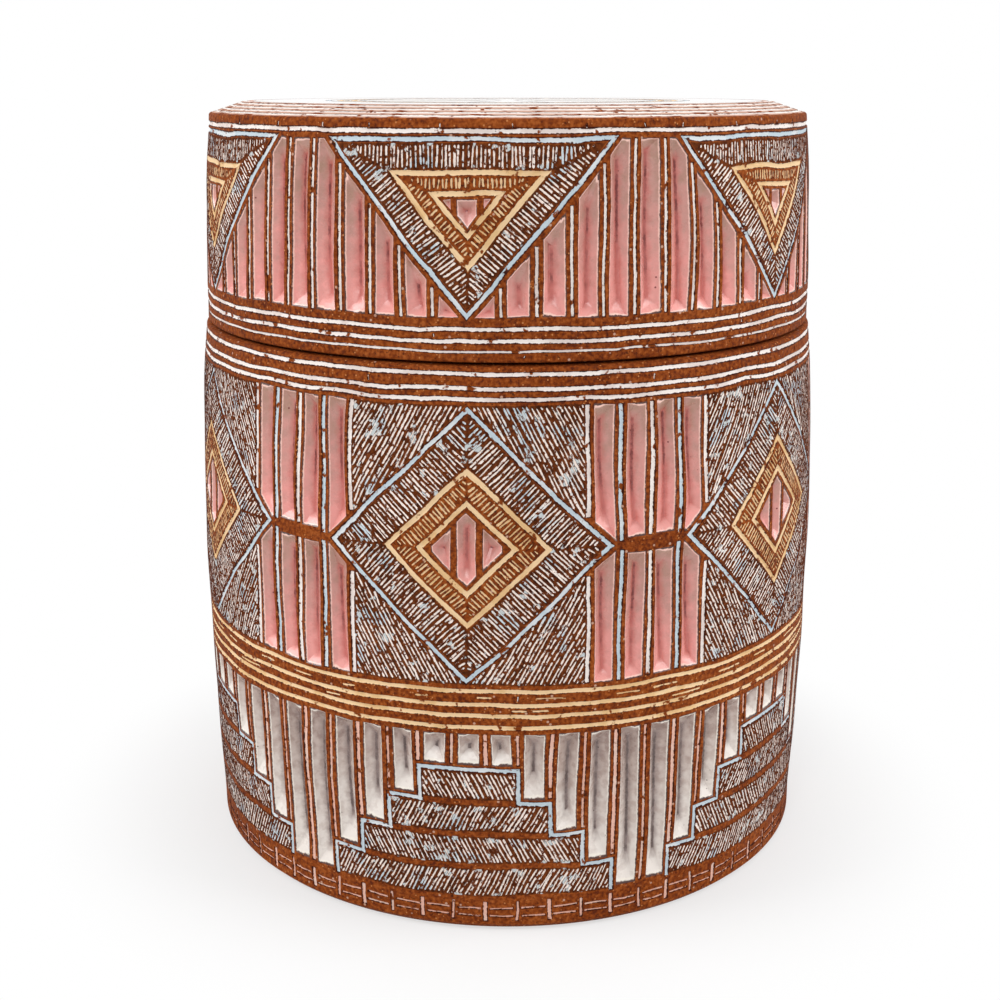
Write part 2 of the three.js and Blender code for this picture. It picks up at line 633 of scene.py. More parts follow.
@dataclass(frozen=True)
class Unsteadiness:
    """A smooth, slow waver round the pot that joins up with itself."""

    seed: int
    waves: int = 10
    turns: tuple[int, int] = (2, 26)  # crests of a wave round the pot, from the least to below the most
    climb: float = 0.28  # most turn of a wave with height, in radians for a millimetre

    def at(self, turn: np.ndarray, height: np.ndarray) -> np.ndarray:
        """Give the waver at places on the wall.

        Args:
            turn: Angle round the pot in radians.
            height: Height in millimetres.

        Returns:
            The waver, mostly between -1 and 1.
        """
        draw = np.random.default_rng(self.seed)
        total = np.zeros_like(turn)
        for _ in range(self.waves):
            round_it, up_it = draw.integers(*self.turns), draw.uniform(-self.climb, self.climb)
            total += np.sin(round_it * turn + up_it * height + draw.uniform(0, 2 * math.pi))
        return total / math.sqrt(self.waves)


def smooth(value: np.ndarray) -> np.ndarray:
    """Ease a value from 0 to 1 between 0 and 1."""
    t = np.clip(value, 0, 1)
    return t * t * (3 - 2 * t)


def turned_profile(frame: dict, node: str) -> list[Point]:
    """Read a turned piece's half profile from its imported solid.

    Args:
        frame: The loaded frame.
        node: The solid's node.

    Returns:
        (radius, height) of its rings in millimetres, in order from the profile's lower end on the axis.
    """
    mesh = frame["nodes"][node].data
    front = {}
    for vertex in mesh.vertices:
        x, y, z = (number / MM for number in vertex.co)
        if abs(x) < TINY and y < TINY:
            front[vertex.index] = (round(abs(y), 2), round(z, 2))
    beside: dict[Point, set[Point]] = {ring: set() for ring in front.values()}
    for edge in mesh.edges:
        if all(i in front for i in edge.vertices):
            a, b = (front[i] for i in edge.vertices)
            beside[a].add(b)
            beside[b].add(a)
    here = min((ring for ring in beside if ring[0] < TINY), key=lambda ring: ring[1])
    chain = [here]
    while here is not None:
        here = next((ring for ring in beside[here] if ring not in chain), None)
        if here is not None:
            chain.append(here)
    return chain


def outer_wall(profile: list[Point]) -> tuple[int, int]:
    """Find the upright outer wall of a turned piece.

    Args:
        profile: (radius, height) of its rings, in order along its half profile.

    Returns:
        The numbers of the wall's lowest and highest rings.
    """
    outside = OUTSIDE * max(radius for radius, _ in profile)
    upright = [
        i
        for i, (here, after) in enumerate(zip(profile, profile[1:]))
        if here[0] > outside and after[1] - here[1] > STEEP * abs(after[0] - here[0])
    ]
    return upright[0], upright[-1] + 1


@dataclass
class Wall:
    """The outside of a turned wall, from a lower ring to an upper ring, with its unrolled sheet."""

    rings: list[Point]
    turn: float  # how far the decoration is turned from the back, in radians
    seed: int
    seam: float  # where the sheet's first end lies along it
    waver: float = 0.2
    waver_in: float = 0.5  # share of the waver that goes in and out
    waver_fade: float = 5.0
    degree: int = 5  # of the wall's curve, at most
    clear: float = 1.2  # between the border's places and the lines that cross it
    map_margin: float = 6.0  # at both ends of a strip on the bake's map
    map_gap: float = 0.01  # above a strip, as a share of the map

    def __post_init__(self) -> None:
        """Fit the wall's smooth curve through its rings."""
        radii, heights = np.array(self.rings).T
        self.low, self.high = float(heights[0]), float(heights[-1])
        self.curve = np.polynomial.Polynomial.fit(heights, radii, min(self.degree, len(heights) - 2))
        self.around = 2 * math.pi * float(radii.mean())

    def radius(self, height: np.ndarray | float) -> np.ndarray | float:
        """Return the wall's radius at a height."""
        return self.curve(height)

    def carved(
        self,
        lines: Sequence[RoundLines],
        nicks: Sequence[Nicks | Scratches],
        zones: Sequence[TriangleZone | LozengeZone | StepZone],
    ) -> Sheet:
        """Cut the wall's decoration.

        Args:
            lines: The lines that run right round.
            nicks: The small marks.
            zones: The zones of figures.

        Returns:
            The cut sheet.
        """
        cut = Carving(self.seed, left=self.seam, right=self.seam + self.around)
        for mark in (*lines, *nicks):
            mark.carve(cut, self.around)
        self.edge_marks(cut, [height for ring in lines for height in ring.heights])
        for zone in zones:
            zone.carve(cut, self.around)
        return cut.net()

    def edge_marks(self, cut: Carving, crossings: Sequence[float]) -> None:
        """Put the sheet's border on the clay, alike on both ends so that they join.

        Args:
            cut: The carving to add to.
            crossings: Heights of the lines that cross the ends, which the border keeps clear of.
        """
        for height in (self.low, self.high):
            row = [(self.seam + self.around * i / COLUMNS, height) for i in range(COLUMNS + 1)]
            cut.chain(cut.place(row))
        step = cut.longest
        for i in range(1, int((self.high - self.low) / step)):
            height = self.low + i * step
            if all(abs(height - crossing) > self.clear for crossing in crossings):
                cut.place([(self.seam, height), (self.seam + self.around, height)])

    def wrapped(self, sheet: Sheet) -> np.ndarray:
        """Wrap a cut sheet round the wall.

        Args:
            sheet: The sheet, as far along round the pot and high.

        Returns:
            The places of its net in millimetres.
        """
        along, height = sheet.flat.T
        fade = smooth(np.minimum(height - self.low, self.high - height) / self.waver_fade)
        turn = 2 * math.pi * (along - self.seam) / self.around
        shift = [Unsteadiness(self.seed + i).at(turn, height) * fade * self.waver for i in range(3)]
        radius = self.radius(height) - sheet.depth + self.waver_in * shift[2]
        angle = turn - math.pi + self.turn + shift[0] / self.radius(height)
        height = height + shift[1]
        return np.stack([radius * np.sin(angle), -radius * np.cos(angle), height], axis=1)

    def strip_map(self, sheet: Sheet, high: float) -> np.ndarray:
        """Lay the wall's sheet on the bake's map as two strips, one above the other.

        Args:
            sheet: The cut sheet.
            high: Where the upper strip ends on the map. The lower one starts at 0.

        Returns:
            A place for each corner of each triangle in turn.
        """
        corners = sheet.flat[sheet.triangles]
        second = corners[:, :, 0].mean(axis=1) > self.seam + self.around / 2
        along = corners[:, :, 0] - self.seam - second[:, None] * self.around / 2
        across = (along + self.map_margin) / (self.around / 2 + 2 * self.map_margin)
        heights = sheet.flat[:, 1]
        up = (corners[:, :, 1] - heights.min()) / (heights.max() - heights.min())
        strip = high / 2
        up = second[:, None] * strip + up * (strip - self.map_gap)
        return np.stack([across, up], axis=2).reshape(-1, 2)


@dataclass
class Skin:
    """Faces gathered for one closed piece, before their shared edges are joined."""

    name: str
    places: list[np.ndarray] = field(default_factory=list)
    marks: list[np.ndarray] = field(default_factory=list)
    faces: list[list[int]] = field(default_factory=list)
    finishes: list[int] = field(default_factory=list)
    maps: list[np.ndarray] = field(default_factory=list)
    count: int = 0

    def add(
        self,
        places: np.ndarray,
        marks: np.ndarray,
        faces: Iterable[Sequence[int]],
        finish: Sequence[int],
        maps: np.ndarray,
    ) -> None:
        """Add faces.

        Args:
            places: Their corners in millimetres.
            marks: The corners' shares of the way to the bottom of their cut and from its head to its foot.
            faces: Numbers of each face's corners, counter-clockwise from outside.
            finish: Each face's finish.
            maps: A place on the bake's map for each corner of each face in turn.
        """
        self.faces += [[i + self.count for i in face] for face in faces]
        self.places.append(places)
        self.marks.append(marks)
        self.finishes += [int(f) for f in finish]
        self.maps.append(maps)
        self.count += len(places)

    def add_sheet(self, sheet: Sheet, places: np.ndarray, maps: np.ndarray) -> None:
        """Add a cut sheet, by its places on the piece and on the bake's map."""
        self.add(places, sheet.marks, sheet.triangles.tolist(), sheet.finish, maps)

    def add_turned(self, rings: Sequence[Point], finish: Finish, turn: float, room: Room) -> None:
        """Add a stretch turned about the axis.

        Args:
            rings: (radius, height) along its profile, in millimetres.
            finish: Its finish.
            turn: Angle of its first column from the back, in radians.
            room: Its place on the bake's map.
        """
        left, low, right, high = room
        angles = column_angles(turn)
        places, starts, widths = [], [], []
        for radius, height in rings:
            starts.append(sum(len(p) for p in places))
            turns = angles if radius > TINY else angles[:1]
            widths.append(len(turns))
            level = np.full(len(turns), height)
            places.append(np.stack([radius * np.sin(turns), -radius * np.cos(turns), level], axis=1))
        runs = np.cumsum([0.0] + [math.dist(a, b) for a, b in zip(rings, rings[1:])])
        ups = low + (high - low) * runs / runs[-1]
        faces: list[list[int]] = []
        maps: list[Point] = []
        for k in range(len(rings) - 1):
            for j in range(COLUMNS):
                face: list[int] = []
                for ring, column in ((k, j), (k, j + 1), (k + 1, j + 1), (k + 1, j)):
                    number = starts[ring] + column % widths[ring]
                    if number not in face:
                        face.append(number)
                        maps.append((left + (right - left) * column / COLUMNS, float(ups[ring])))
                faces.append(face)
        joined = np.concatenate(places)
        self.add(joined, np.zeros((len(joined), 2)), faces, [finish.value] * len(faces), np.array(maps))

    def finished(self, palette: Palette) -> bpy.types.Object:
        """Make the closed piece.

        Args:
            palette: The finishes for its faces.

        Returns:
            The piece, in metres.
        """
        mesh = bpy.data.meshes.new(self.name)
        mesh.from_pydata(np.concatenate(self.places) * MM, [], self.faces)
        mesh.polygons.foreach_set("material_index", self.finishes)
        mesh.polygons.foreach_set("use_smooth", [True] * len(self.faces))
        maps = np.concatenate(self.maps).astype(np.float32)
        mesh.uv_layers.new(name=BAKE_MAP).data.foreach_set("uv", maps.ravel())
        marks = np.concatenate(self.marks).astype(np.float32)
        for name, values in zip((SHADE, RUN), marks.T):
            layer = mesh.attributes.new(name, "FLOAT", "POINT")
            layer.data.foreach_set("value", np.ascontiguousarray(values))
        joined = bmesh.new()
        joined.from_mesh(mesh)
        bmesh.ops.remove_doubles(joined, verts=joined.verts, dist=WELD * MM)
        loose = sum(1 for edge in joined.edges if not edge.is_manifold)
        joined.to_mesh(mesh)
        joined.free()
        mesh.set_sharp_from_angle(angle=CREASE)
        for material in palette.materials:
            mesh.materials.append(material)
        piece = bpy.data.objects.new(self.name, mesh)
        bpy.context.scene.collection.objects.link(piece)
        LOG.info("%s: %d faces, %d open edges", self.name, len(mesh.polygons), loose)
        return piece


class Sum(Enum):
    """How two values are worked into one, by the Math node's own names."""

    ADDED = "ADD"
    MULTIPLIED = "MULTIPLY"


class Bench:
    """Lays out the nodes of one finish, by places on the piece itself."""

    noise_span: Point = (0.3, 0.7)  # levels between which cloudy noise mostly lies
    spot_core: float = 0.6  # share of a spot's radius inside which it is whole
    draw_level: float = 0.52  # brightness from which a cell has a spot, where half the cells have one
    draw_spread: float = 0.3  # fall of that level from a share of none to all
    draw_edge: float = 0.04  # rise in brightness over which a spot comes in
    mix_colours: tuple[int, int] = (6, 7)  # the Mix node's inputs for colours
    mix_result: int = 2  # its output for a colour

    def __init__(self, name: str) -> None:
        """Start a finish.

        Args:
            name: The finish's name.
        """
        self.material = bpy.data.materials.new(name)
        self.material.use_nodes = True
        self.nodes = self.material.node_tree.nodes
        self.surface = self.nodes["Principled BSDF"]
        self.places = self.nodes.new("ShaderNodeTexCoord").outputs["Object"]

    def join(self, source: Socket, target: Socket) -> None:
        """Link one socket to another."""
        self.material.node_tree.links.new(source, target)

    def noise(self, size: float, detail: float = 3.0) -> Socket:
        """Make cloudy noise.

        Args:
            size: The size of its lumps in millimetres.
            detail: Its detail.

        Returns:
            The noise.
        """
        node = self.nodes.new("ShaderNodeTexNoise")
        node.inputs["Scale"].default_value = 1 / (size * MM)
        node.inputs["Detail"].default_value = detail
        self.join(self.places, node.inputs["Vector"])
        return node.outputs["Fac"]

    def uneven(self, size: float, low: float, high: float) -> Socket:
        """Return cloudy noise of a size, eased from a low to a high number."""
        return self.ranged(self.noise(size), *self.noise_span, low, high)

    def spots(self, size: float, reach: float, share: float) -> Socket:
        """Scatter round spots.

        Args:
            size: The size in millimetres of the cells that hold at most one spot each.
            reach: A spot's radius, as a share of its cell.
            share: The share of cells that hold a spot.

        Returns:
            A mask, 1 on the spots.
        """
        node = self.nodes.new("ShaderNodeTexVoronoi")
        node.inputs["Scale"].default_value = 1 / (size * MM)
        self.join(self.places, node.inputs["Vector"])
        near = self.ranged(node.outputs["Distance"], reach, self.spot_core * reach)
        level = self.draw_level - self.draw_spread * (share - 0.5)
        drawn = self.ranged(node.outputs["Color"], level, level + self.draw_edge)
        return self.sum_of(Sum.MULTIPLIED, near, drawn)

    def mark(self, name: str) -> Socket:
        """Read where in its cut a place lies.

        Args:
            name: The mark's name.

        Returns:
            The mark.
        """
        node = self.nodes.new("ShaderNodeAttribute")
        node.attribute_name = name
        return node.outputs["Fac"]

    def roughened(self, value: Socket, size: float, by: float, detail: float = 3.0) -> Socket:
        """Add noise to a value.

        Args:
            value: The value.
            size: The size of the noise's lumps in millimetres.
            by: The noise's height, half of which it adds on average.
            detail: The noise's detail.

        Returns:
            The roughened value.
        """
        return self.sum_of(Sum.ADDED, value, self.scaled(self.noise(size, detail), by))

    def ranged(
        self, value: Socket, low: float, high: float, to_low: float = 0.0, to_high: float = 1.0
    ) -> Socket:
        """Ease a value over a range.

        Args:
            value: The value.
            low: Where the range starts.
            high: Where it ends.
            to_low: What the value becomes up to the start.
            to_high: What it becomes from the end on.

        Returns:
            The eased value.
        """
        node = self.nodes.new("ShaderNodeMapRange")
        node.interpolation_type = "SMOOTHSTEP"
        numbers = {"From Min": low, "From Max": high, "To Min": to_low, "To Max": to_high}
        for name, number in numbers.items():
            node.inputs[name].default_value = number
        self.join(value, node.inputs["Value"])
        return node.outputs["Result"]

    def sum_of(self, kind: Sum, a: Socket, b: Socket | float) -> Socket:
        """Work out one value from two.

        Args:
            kind: How they are worked into one.
            a: One value.
            b: The other value, or a number.

        Returns:
            Their sum or product.
        """
        node = self.nodes.new("ShaderNodeMath")
        node.operation = kind.value
        self.join(a, node.inputs[0])
        if isinstance(b, float):
            node.inputs[1].default_value = b
        else:
            self.join(b, node.inputs[1])
        return node.outputs[0]

    def scaled(self, value: Socket, by: float) -> Socket:
        """Return a value multiplied by a number."""
        return self.sum_of(Sum.MULTIPLIED, value, by)

    def ramp(self, value: Socket, levels: Sequence[float], colours: Sequence[Colour]) -> Socket:
        """Turn a value into a colour.

        Args:
            value: The value.
            levels: The levels at which it takes each colour, in order.
            colours: The colours.

        Returns:
            The colour.
        """
        node = self.nodes.new("ShaderNodeValToRGB")
        elements = node.color_ramp.elements
        for i, (level, colour) in enumerate(zip(levels, colours)):
            stop = elements[i] if i < len(elements) else elements.new(level)
            stop.position = level
            stop.color = (*colour, 1.0)
        self.join(value, node.inputs["Fac"])
        return node.outputs["Color"]

    def mixed(self, share: Socket, under: Socket | Colour, over: Socket | Colour) -> Socket:
        """Lay one colour over another.

        Args:
            share: How much of the upper colour shows.
            under: The lower colour.
            over: The upper colour.

        Returns:
            The mixed colour.
        """
        node = self.nodes.new("ShaderNodeMix")
        node.data_type = "RGBA"
        self.join(share, node.inputs[0])
        for number, colour in zip(self.mix_colours, (under, over)):
            if isinstance(colour, tuple):
                node.inputs[number].default_value = (*colour, 1.0)
            else:
                self.join(colour, node.inputs[number])
        return node.outputs[self.mix_result]

    def relief(self, waves: Waves) -> None:
        """Give the surface fine relief.

        Args:
            waves: The relief's waves, each laid over the one before it.
        """
        below: Socket | None = None
        for size, detail, tallest in waves:
            node = self.nodes.new("ShaderNodeBump")
            node.inputs["Distance"].default_value = tallest * MM
            self.join(self.noise(size, detail), node.inputs["Height"])
            if below is not None:
                self.join(below, node.inputs["Normal"])
            below = node.outputs["Normal"]
        if below is not None:
            self.join(below, self.surface.inputs["Normal"])

    def dressed(self, colour: Socket, roughness: Socket, **numbers: float) -> bpy.types.Material:
        """Finish the material.

        Args:
            colour: Its colour.
            roughness: Its roughness.
            **numbers: What is the same all over it, by the shader's own sockets with _ for each space.

        Returns:
            The material.
        """
        self.join(colour, self.surface.inputs["Base Color"])
        self.join(roughness, self.surface.inputs["Roughness"])
        for name, number in numbers.items():
            self.surface.inputs[name.replace("_", " ")].default_value = number
        return self.material


@dataclass(frozen=True)
class Clay:
    """Bare stoneware with grog and iron flecks, which slip may have smeared. Sizes are in millimetres."""

    name: str
    dark: Colour = (0.084, 0.013, 0.002)
    middle: Colour = (0.194, 0.038, 0.004)
    light: Colour = (0.318, 0.083, 0.016)
    fleck: Colour = (0.022, 0.006, 0.003)
    grog: Colour = (0.44, 0.170, 0.055)
    residue: Colour = (0.46, 0.27, 0.19)
    smear: Colour | None = None
    levels: tuple[float, float, float] = (0.36, 0.50, 0.66)  # of the grain, for its three tones
    grain: float = 0.8
    cloud: float = 21.0  # size of its slow changes of tone
    cloud_share: float = 0.24  # of the tone, that they make up
    fleck_size: float = 0.75
    fleck_from: Point = (0.64, 0.72)  # noise levels over which a fleck darkens
    fleck_most: float = 0.70
    grog_spots: Spots = (0.95, 0.24, 0.35)
    residue_spots: Spots = (2.1, 0.17, 0.3)
    smear_from: float = 0.54  # noise level from which slip smears the clay
    smear_edge: float = 0.10  # rise in that level over which a smear thickens
    smear_size: float = 3.4
    smear_most: float = 0.85
    grit: Waves = ((0.45, 3.0, 0.12), (2.0, 4.0, 0.18))
    shine: float = 0.10
    roughness: Point = (0.66, 0.92)
    roughness_size: float = 1.6

    def colour(self, bench: Bench) -> Socket:
        """Give the clay's mottled colour.

        Args:
            bench: Where the nodes are laid out.

        Returns:
            The colour.
        """
        fine = bench.scaled(bench.noise(self.grain, detail=5.0), 1 - self.cloud_share)
        grain = bench.roughened(fine, self.cloud, self.cloud_share)
        body = bench.ramp(grain, self.levels, (self.dark, self.middle, self.light))
        lumps = bench.noise(self.fleck_size, detail=2.0)
        flecks = bench.ranged(lumps, *self.fleck_from, 0.0, self.fleck_most)
        flecked = bench.mixed(flecks, body, self.fleck)
        if self.smear is None:
            grained = bench.mixed(bench.spots(*self.grog_spots), flecked, self.grog)
            return bench.mixed(bench.spots(*self.residue_spots), grained, self.residue)
        cloud = bench.noise(self.smear_size, detail=5.0)
        thick = self.smear_from + self.smear_edge
        smears = bench.ranged(cloud, self.smear_from, thick, 0.0, self.smear_most)
        return bench.mixed(smears, flecked, self.smear)

    def material(self) -> bpy.types.Material:
        """Mix the clay.

        Returns:
            The material.
        """
        bench = Bench(self.name)
        bench.relief(self.grit)
        roughness = bench.uneven(self.roughness_size, *self.roughness)
        return bench.dressed(self.colour(bench), roughness, Specular_IOR_Level=self.shine)


@dataclass(frozen=True)
class Slip:
    """Coloured slip wiped into cut lines, ragged at their edges and lost here and there.

    Sizes are in millimetres.
    """

    name: str
    colour: Colour
    tint: Colour
    # painted shade: the darker clay that the top of the cut's walls shows
    clay: Clay  # that the top of the cut shows
    bare: Colour = (0.20, 0.042, 0.005)  # where the slip has come away
    patch: float = 9.0  # size of the patches that take the tint
    tint_from: float = 0.50  # noise level from which a patch takes the tint
    tint_edge: float = 0.10
    chip: float = 2.4  # size of the places where the slip has come away
    lost: float = 0.34  # noise level under which the slip has come away
    lost_edge: float = 0.05
    fill: float = 0.62  # share of the way down its cut where the slip starts
    fill_edge: float = 0.20
    fray: float = 1.4  # how far that start wanders
    fray_size: float = 0.8  # size of its wanderings
    grit: Waves = ((0.4, 3.0, 0.08), (1.5, 3.0, 0.10))
    shine: float = 0.08
    roughness: Point = (0.5, 0.8)
    roughness_size: float = 1.2

    def material(self) -> bpy.types.Material:
        """Mix the slip.

        Returns:
            The material.
        """
        bench = Bench(self.name)
        ragged = bench.roughened(bench.mark(SHADE), self.fray_size, self.fray, detail=2.0)
        start = self.fill - self.fill_edge / 2 + self.fray / 2
        covered = bench.ranged(ragged, start, start + self.fill_edge)
        kept = bench.ranged(bench.noise(self.chip, detail=4.0), self.lost, self.lost + self.lost_edge)
        patchy = bench.noise(self.patch, detail=4.0)
        patches = bench.ranged(patchy, self.tint_from, self.tint_from + self.tint_edge)
        slip = bench.mixed(kept, self.bare, bench.mixed(patches, self.colour, self.tint))
        # painted shade: above where the slip starts, the cut's walls show the darker clay
        colour = bench.mixed(covered, self.clay.colour(bench), slip)
        bench.relief(self.grit)
        roughness = bench.uneven(self.roughness_size, *self.roughness)
        return bench.dressed(colour, roughness, Specular_IOR_Level=self.shine)


@dataclass(frozen=True)
class Onset:
    """Where a glaze changes on its way down into a cut or along it, with a ragged edge."""

    size: float  # of the raggedness, in millimetres
    by: float  # the raggedness's height, half of which it adds on average
    low: float  # level at which the change starts
    high: float  # level at which it ends
    most: float = 1.0

    def mask(self, bench: Bench, way: Socket) -> Socket:
        """Return how far the glaze has changed, by the share of the way."""
        return bench.ranged(bench.roughened(way, self.size, self.by), self.low, self.high, 0.0, self.most)


@dataclass(frozen=True)
class Glaze:
    """Glaze that has run down a gouge. Sizes are in millimetres.

    It is starved and brown at the head and fuller towards the foot. It is pale at the edges, where it breaks
    thin and where a painted highlight lies along the rim. It is flushed towards the bottom, along which a
    dark streak, of pooled glaze darkened by painted shade, sets in below the head and dies away downwards.
    """

    name: str
    # pale glaze broken thin over the rim, and a painted highlight along it
    edge: Colour
    head: Colour
    body: Colour
    foot: Colour
    flush: Colour
    # dark glaze pooled along the bottom of the cut, darkened further as painted shade; the pinholes take it
    # too
    streak: Colour
    # painted shade: the darker clay that the top of the gouge's wall shows at the rim
    clay: Clay  # that shows at the rim
    cloud: float = 2.6  # size of its lighter and darker clouds
    cloud_by: float = 1.1  # how far the clouds move it along its run
    run_scale: float = 0.55  # that brings the clouded run back to between 0 and about 1
    run_levels: tuple[float, float, float] = (0.26, 0.46, 0.80)  # of the head, the body and the foot
    streak_from: Point = (0.03, 0.14)  # share of the run over which the streak sets in
    streak_fade: Onset = Onset(6.0, 1.2, 1.45, 1.00)  # along the run
    streak_deep: Onset = Onset(0.7, 0.24, 0.99, 1.11)  # down into the cut
    streak_size: float = 2.4  # of the places where the streak is thin
    streak_levels: Point = (0.34, 0.62)  # of noise, over which it thickens
    streak_least: float = 0.35
    flush_deep: Onset = Onset(1.8, 0.40, 0.76, 1.24, 0.9)
    breaks: Onset = Onset(0.8, 0.16, 0.25, 0.36)  # from the pale edge to the full glaze
    covers: Onset = Onset(0.6, 0.16, 0.16, 0.23)  # from the clay to the pale edge
    pits: Spots = (3.1, 0.08, 0.25)
    ripples: Waves = ((2.6, 3.0, 0.20), (0.8, 2.0, 0.03))
    coat: float = 0.30
    coat_roughness: float = 0.16
    roughness: Point = (0.22, 0.38)
    roughness_size: float = 2.0

    def material(self) -> bpy.types.Material:
        """Mix the glaze.

        Returns:
            The material.
        """
        bench = Bench(self.name)
        deep, run = bench.mark(SHADE), bench.mark(RUN)
        along = bench.scaled(bench.roughened(run, self.cloud, self.cloud_by, detail=4.0), self.run_scale)
        run_down = bench.ramp(along, self.run_levels, (self.head, self.body, self.foot))
        thick = bench.ranged(bench.noise(self.streak_size), *self.streak_levels, self.streak_least, 1.0)
        uneven = bench.sum_of(Sum.MULTIPLIED, self.streak_deep.mask(bench, deep), thick)
        set_in = bench.ranged(run, *self.streak_from)
        lasting = bench.sum_of(Sum.MULTIPLIED, self.streak_fade.mask(bench, run), set_in)
        flushed = bench.mixed(self.flush_deep.mask(bench, deep), run_down, self.flush)
        # painted shade, with pooled glaze: the dark streak along the bottom of the cut
        filled = bench.mixed(bench.sum_of(Sum.MULTIPLIED, uneven, lasting), flushed, self.streak)
        pitted = bench.mixed(bench.spots(*self.pits), filled, self.streak)
        # painted highlight: the pale edge colour along the rim, where the glaze also breaks thin
        broken = bench.mixed(self.breaks.mask(bench, deep), self.edge, pitted)
        # painted shade at the rim: the darker clay, before the pale edge and the glaze
        colour = bench.mixed(self.covers.mask(bench, deep), self.clay.colour(bench), broken)
        bench.relief(self.ripples)
        roughness = bench.uneven(self.roughness_size, *self.roughness)
        return bench.dressed(colour, roughness, Coat_Weight=self.coat, Coat_Roughness=self.coat_roughness)


@dataclass(frozen=True)
class PlainGlaze:
    """A plain pale glaze, with iron flecks that have bled through. Sizes are in millimetres."""

    name: str
    pale: Colour = (0.62, 0.55, 0.44)
    warm: Colour = (0.50, 0.38, 0.25)
    fleck: Colour = (0.16, 0.08, 0.035)
    cloud: float = 17.0  # size of its warm clouds
    cloud_levels: Point = (0.38, 0.66)  # of noise, over which it warms
    fleck_spots: Spots = (2.7, 0.22, 0.4)
    ripples: Waves = ((16.0, 1.0, 0.06),)
    shine: float = 0.5
    coat: float = 0.6
    coat_roughness: float = 0.08
    roughness: Point = (0.12, 0.26)
    roughness_size: float = 3.0

    def material(self) -> bpy.types.Material:
        """Mix the plain glaze.

        Returns:
            The material.
        """
        bench = Bench(self.name)
        clouds = bench.ranged(bench.noise(self.cloud, detail=4.0), *self.cloud_levels)
        colour = bench.mixed(clouds, self.pale, self.warm)
        colour = bench.mixed(bench.spots(*self.fleck_spots), colour, self.fleck)
        bench.relief(self.ripples)
        return bench.dressed(
            colour,
            bench.uneven(self.roughness_size, *self.roughness),
            Specular_IOR_Level=self.shine,
            Coat_Weight=self.coat,
            Coat_Roughness=self.coat_roughness,
        )


class Palette:
    """The jar's finishes, one material for each."""

    def __init__(self) -> None:
        """Mix all finishes, in their order."""
        # Painted shade: very dark clay shows as the shadow at the top of each cut's walls, by lines, strokes
        # and gouges.
        painted_shade_tones = ((0.028, 0.004, 0.001), (0.052, 0.008, 0.002), (0.110, 0.022, 0.004))
        cut_shade_clay = Clay("painted_shade_clay", *painted_shade_tones, shine=0.04)
        shadowed = ((0.036, 0.009, 0.003), (0.095, 0.022, 0.005), (0.170, 0.043, 0.010))
        clear = {"ripples": (), "shine": 0.08, "coat": 1.0, "coat_roughness": 0.03}
        made = {
            Finish.CLAY: Clay("body_stoneware"),
            Finish.WASH: Clay("washed_stoneware", smear=(0.56, 0.36, 0.28), smear_from=0.38),
            Finish.GROUND: Clay(
                "hatched_stoneware",
                *shadowed,
                smear=(0.56, 0.61, 0.62),
                smear_from=0.61,
                smear_edge=0.05,
                smear_size=2.6,
                shine=0.05,
            ),
            Finish.LINER: PlainGlaze("liner_glaze"),
            Finish.TOP: PlainGlaze("top_glaze", **clear),
            Finish.PETAL: PlainGlaze("petal_glaze", (0.68, 0.28, 0.25), (0.50, 0.19, 0.15), **clear),
            Finish.WHITE: Slip("white_slip", (0.80, 0.73, 0.69), (0.69, 0.60, 0.56), cut_shade_clay),
            Finish.FROST: Slip(
                "frost_slip",
                (0.84, 0.75, 0.69),
                (0.59, 0.66, 0.70),
                cut_shade_clay,
                bare=(0.13, 0.030, 0.006),
                patch=7.0,
                tint_from=0.54,
                chip=1.0,
                lost=0.40,
                fill=0.24,
            ),
            Finish.BLUE: Slip("pale_blue_slip", (0.49, 0.57, 0.62), (0.62, 0.65, 0.67), cut_shade_clay),
            Finish.OCHRE: Slip("ochre_slip", (0.76, 0.55, 0.33), (0.68, 0.45, 0.23), cut_shade_clay, fill=0.24),
            Finish.ROSE: Slip("rose_slip", (0.74, 0.45, 0.36), (0.73, 0.53, 0.45), cut_shade_clay),
            Finish.PINK: Glaze(
                "pink_glaze",
                edge=(0.83, 0.53, 0.45),
                head=(0.37, 0.205, 0.145),
                body=(0.49, 0.248, 0.208),
                foot=(0.74, 0.305, 0.272),
                flush=(0.49, 0.110, 0.088),
                streak=(0.15, 0.012, 0.008),
                clay=cut_shade_clay,
            ),
            Finish.GREY: Glaze(
                "grey_glaze",
                edge=(0.78, 0.72, 0.64),
                head=(0.26, 0.172, 0.144),
                body=(0.46, 0.362, 0.318),
                foot=(0.72, 0.660, 0.610),
                flush=(0.24, 0.170, 0.154),
                streak=(0.085, 0.050, 0.043),
                clay=cut_shade_clay,
                streak_fade=Onset(6.0, 1.2, 1.70, 1.30),
                cloud=2.0,
            ),
        }
        self.materials = [made[finish].material() for finish in Finish]


@dataclass(frozen=True)
class RoundLines:
    """Inlaid lines that run right round the pot."""

    heights: tuple[float, ...]
    width: float
    finish: Finish

    def carve(self, cut: Carving, around: float) -> None:
        """Cut the lines from one end of the sheet to the other.

        Args:
            cut: The carving to add to.
            around: The sheet's length round the pot.
        """
        for height in self.heights:
            ends = [(cut.left, height), (cut.left + around, height)]
            cut.line(ends, self.width, self.finish, round_pot=True)


@dataclass(frozen=True)
class Nicks:
    """Short upright nicks of white slip, here and there across a band of bare clay."""

    low: float
    high: float
    count: int
    spread: Point = (0.15, 0.85)  # of each nick's share of the way round
    lean: float = 0.1

    def carve(self, cut: Carving, around: float) -> None:
        """Cut the nicks, at uneven steps round the pot.

        Args:
            cut: The carving to add to.
            around: The sheet's length round the pot.
        """
        for i in range(self.count):
            across = cut.left + around * (i + cut.hand.uniform(*self.spread)) / self.count
            tip = (across + cut.hand.uniform(-self.lean, self.lean), self.high)
            cut.stroke((across, self.low), tip, Finish.WHITE)


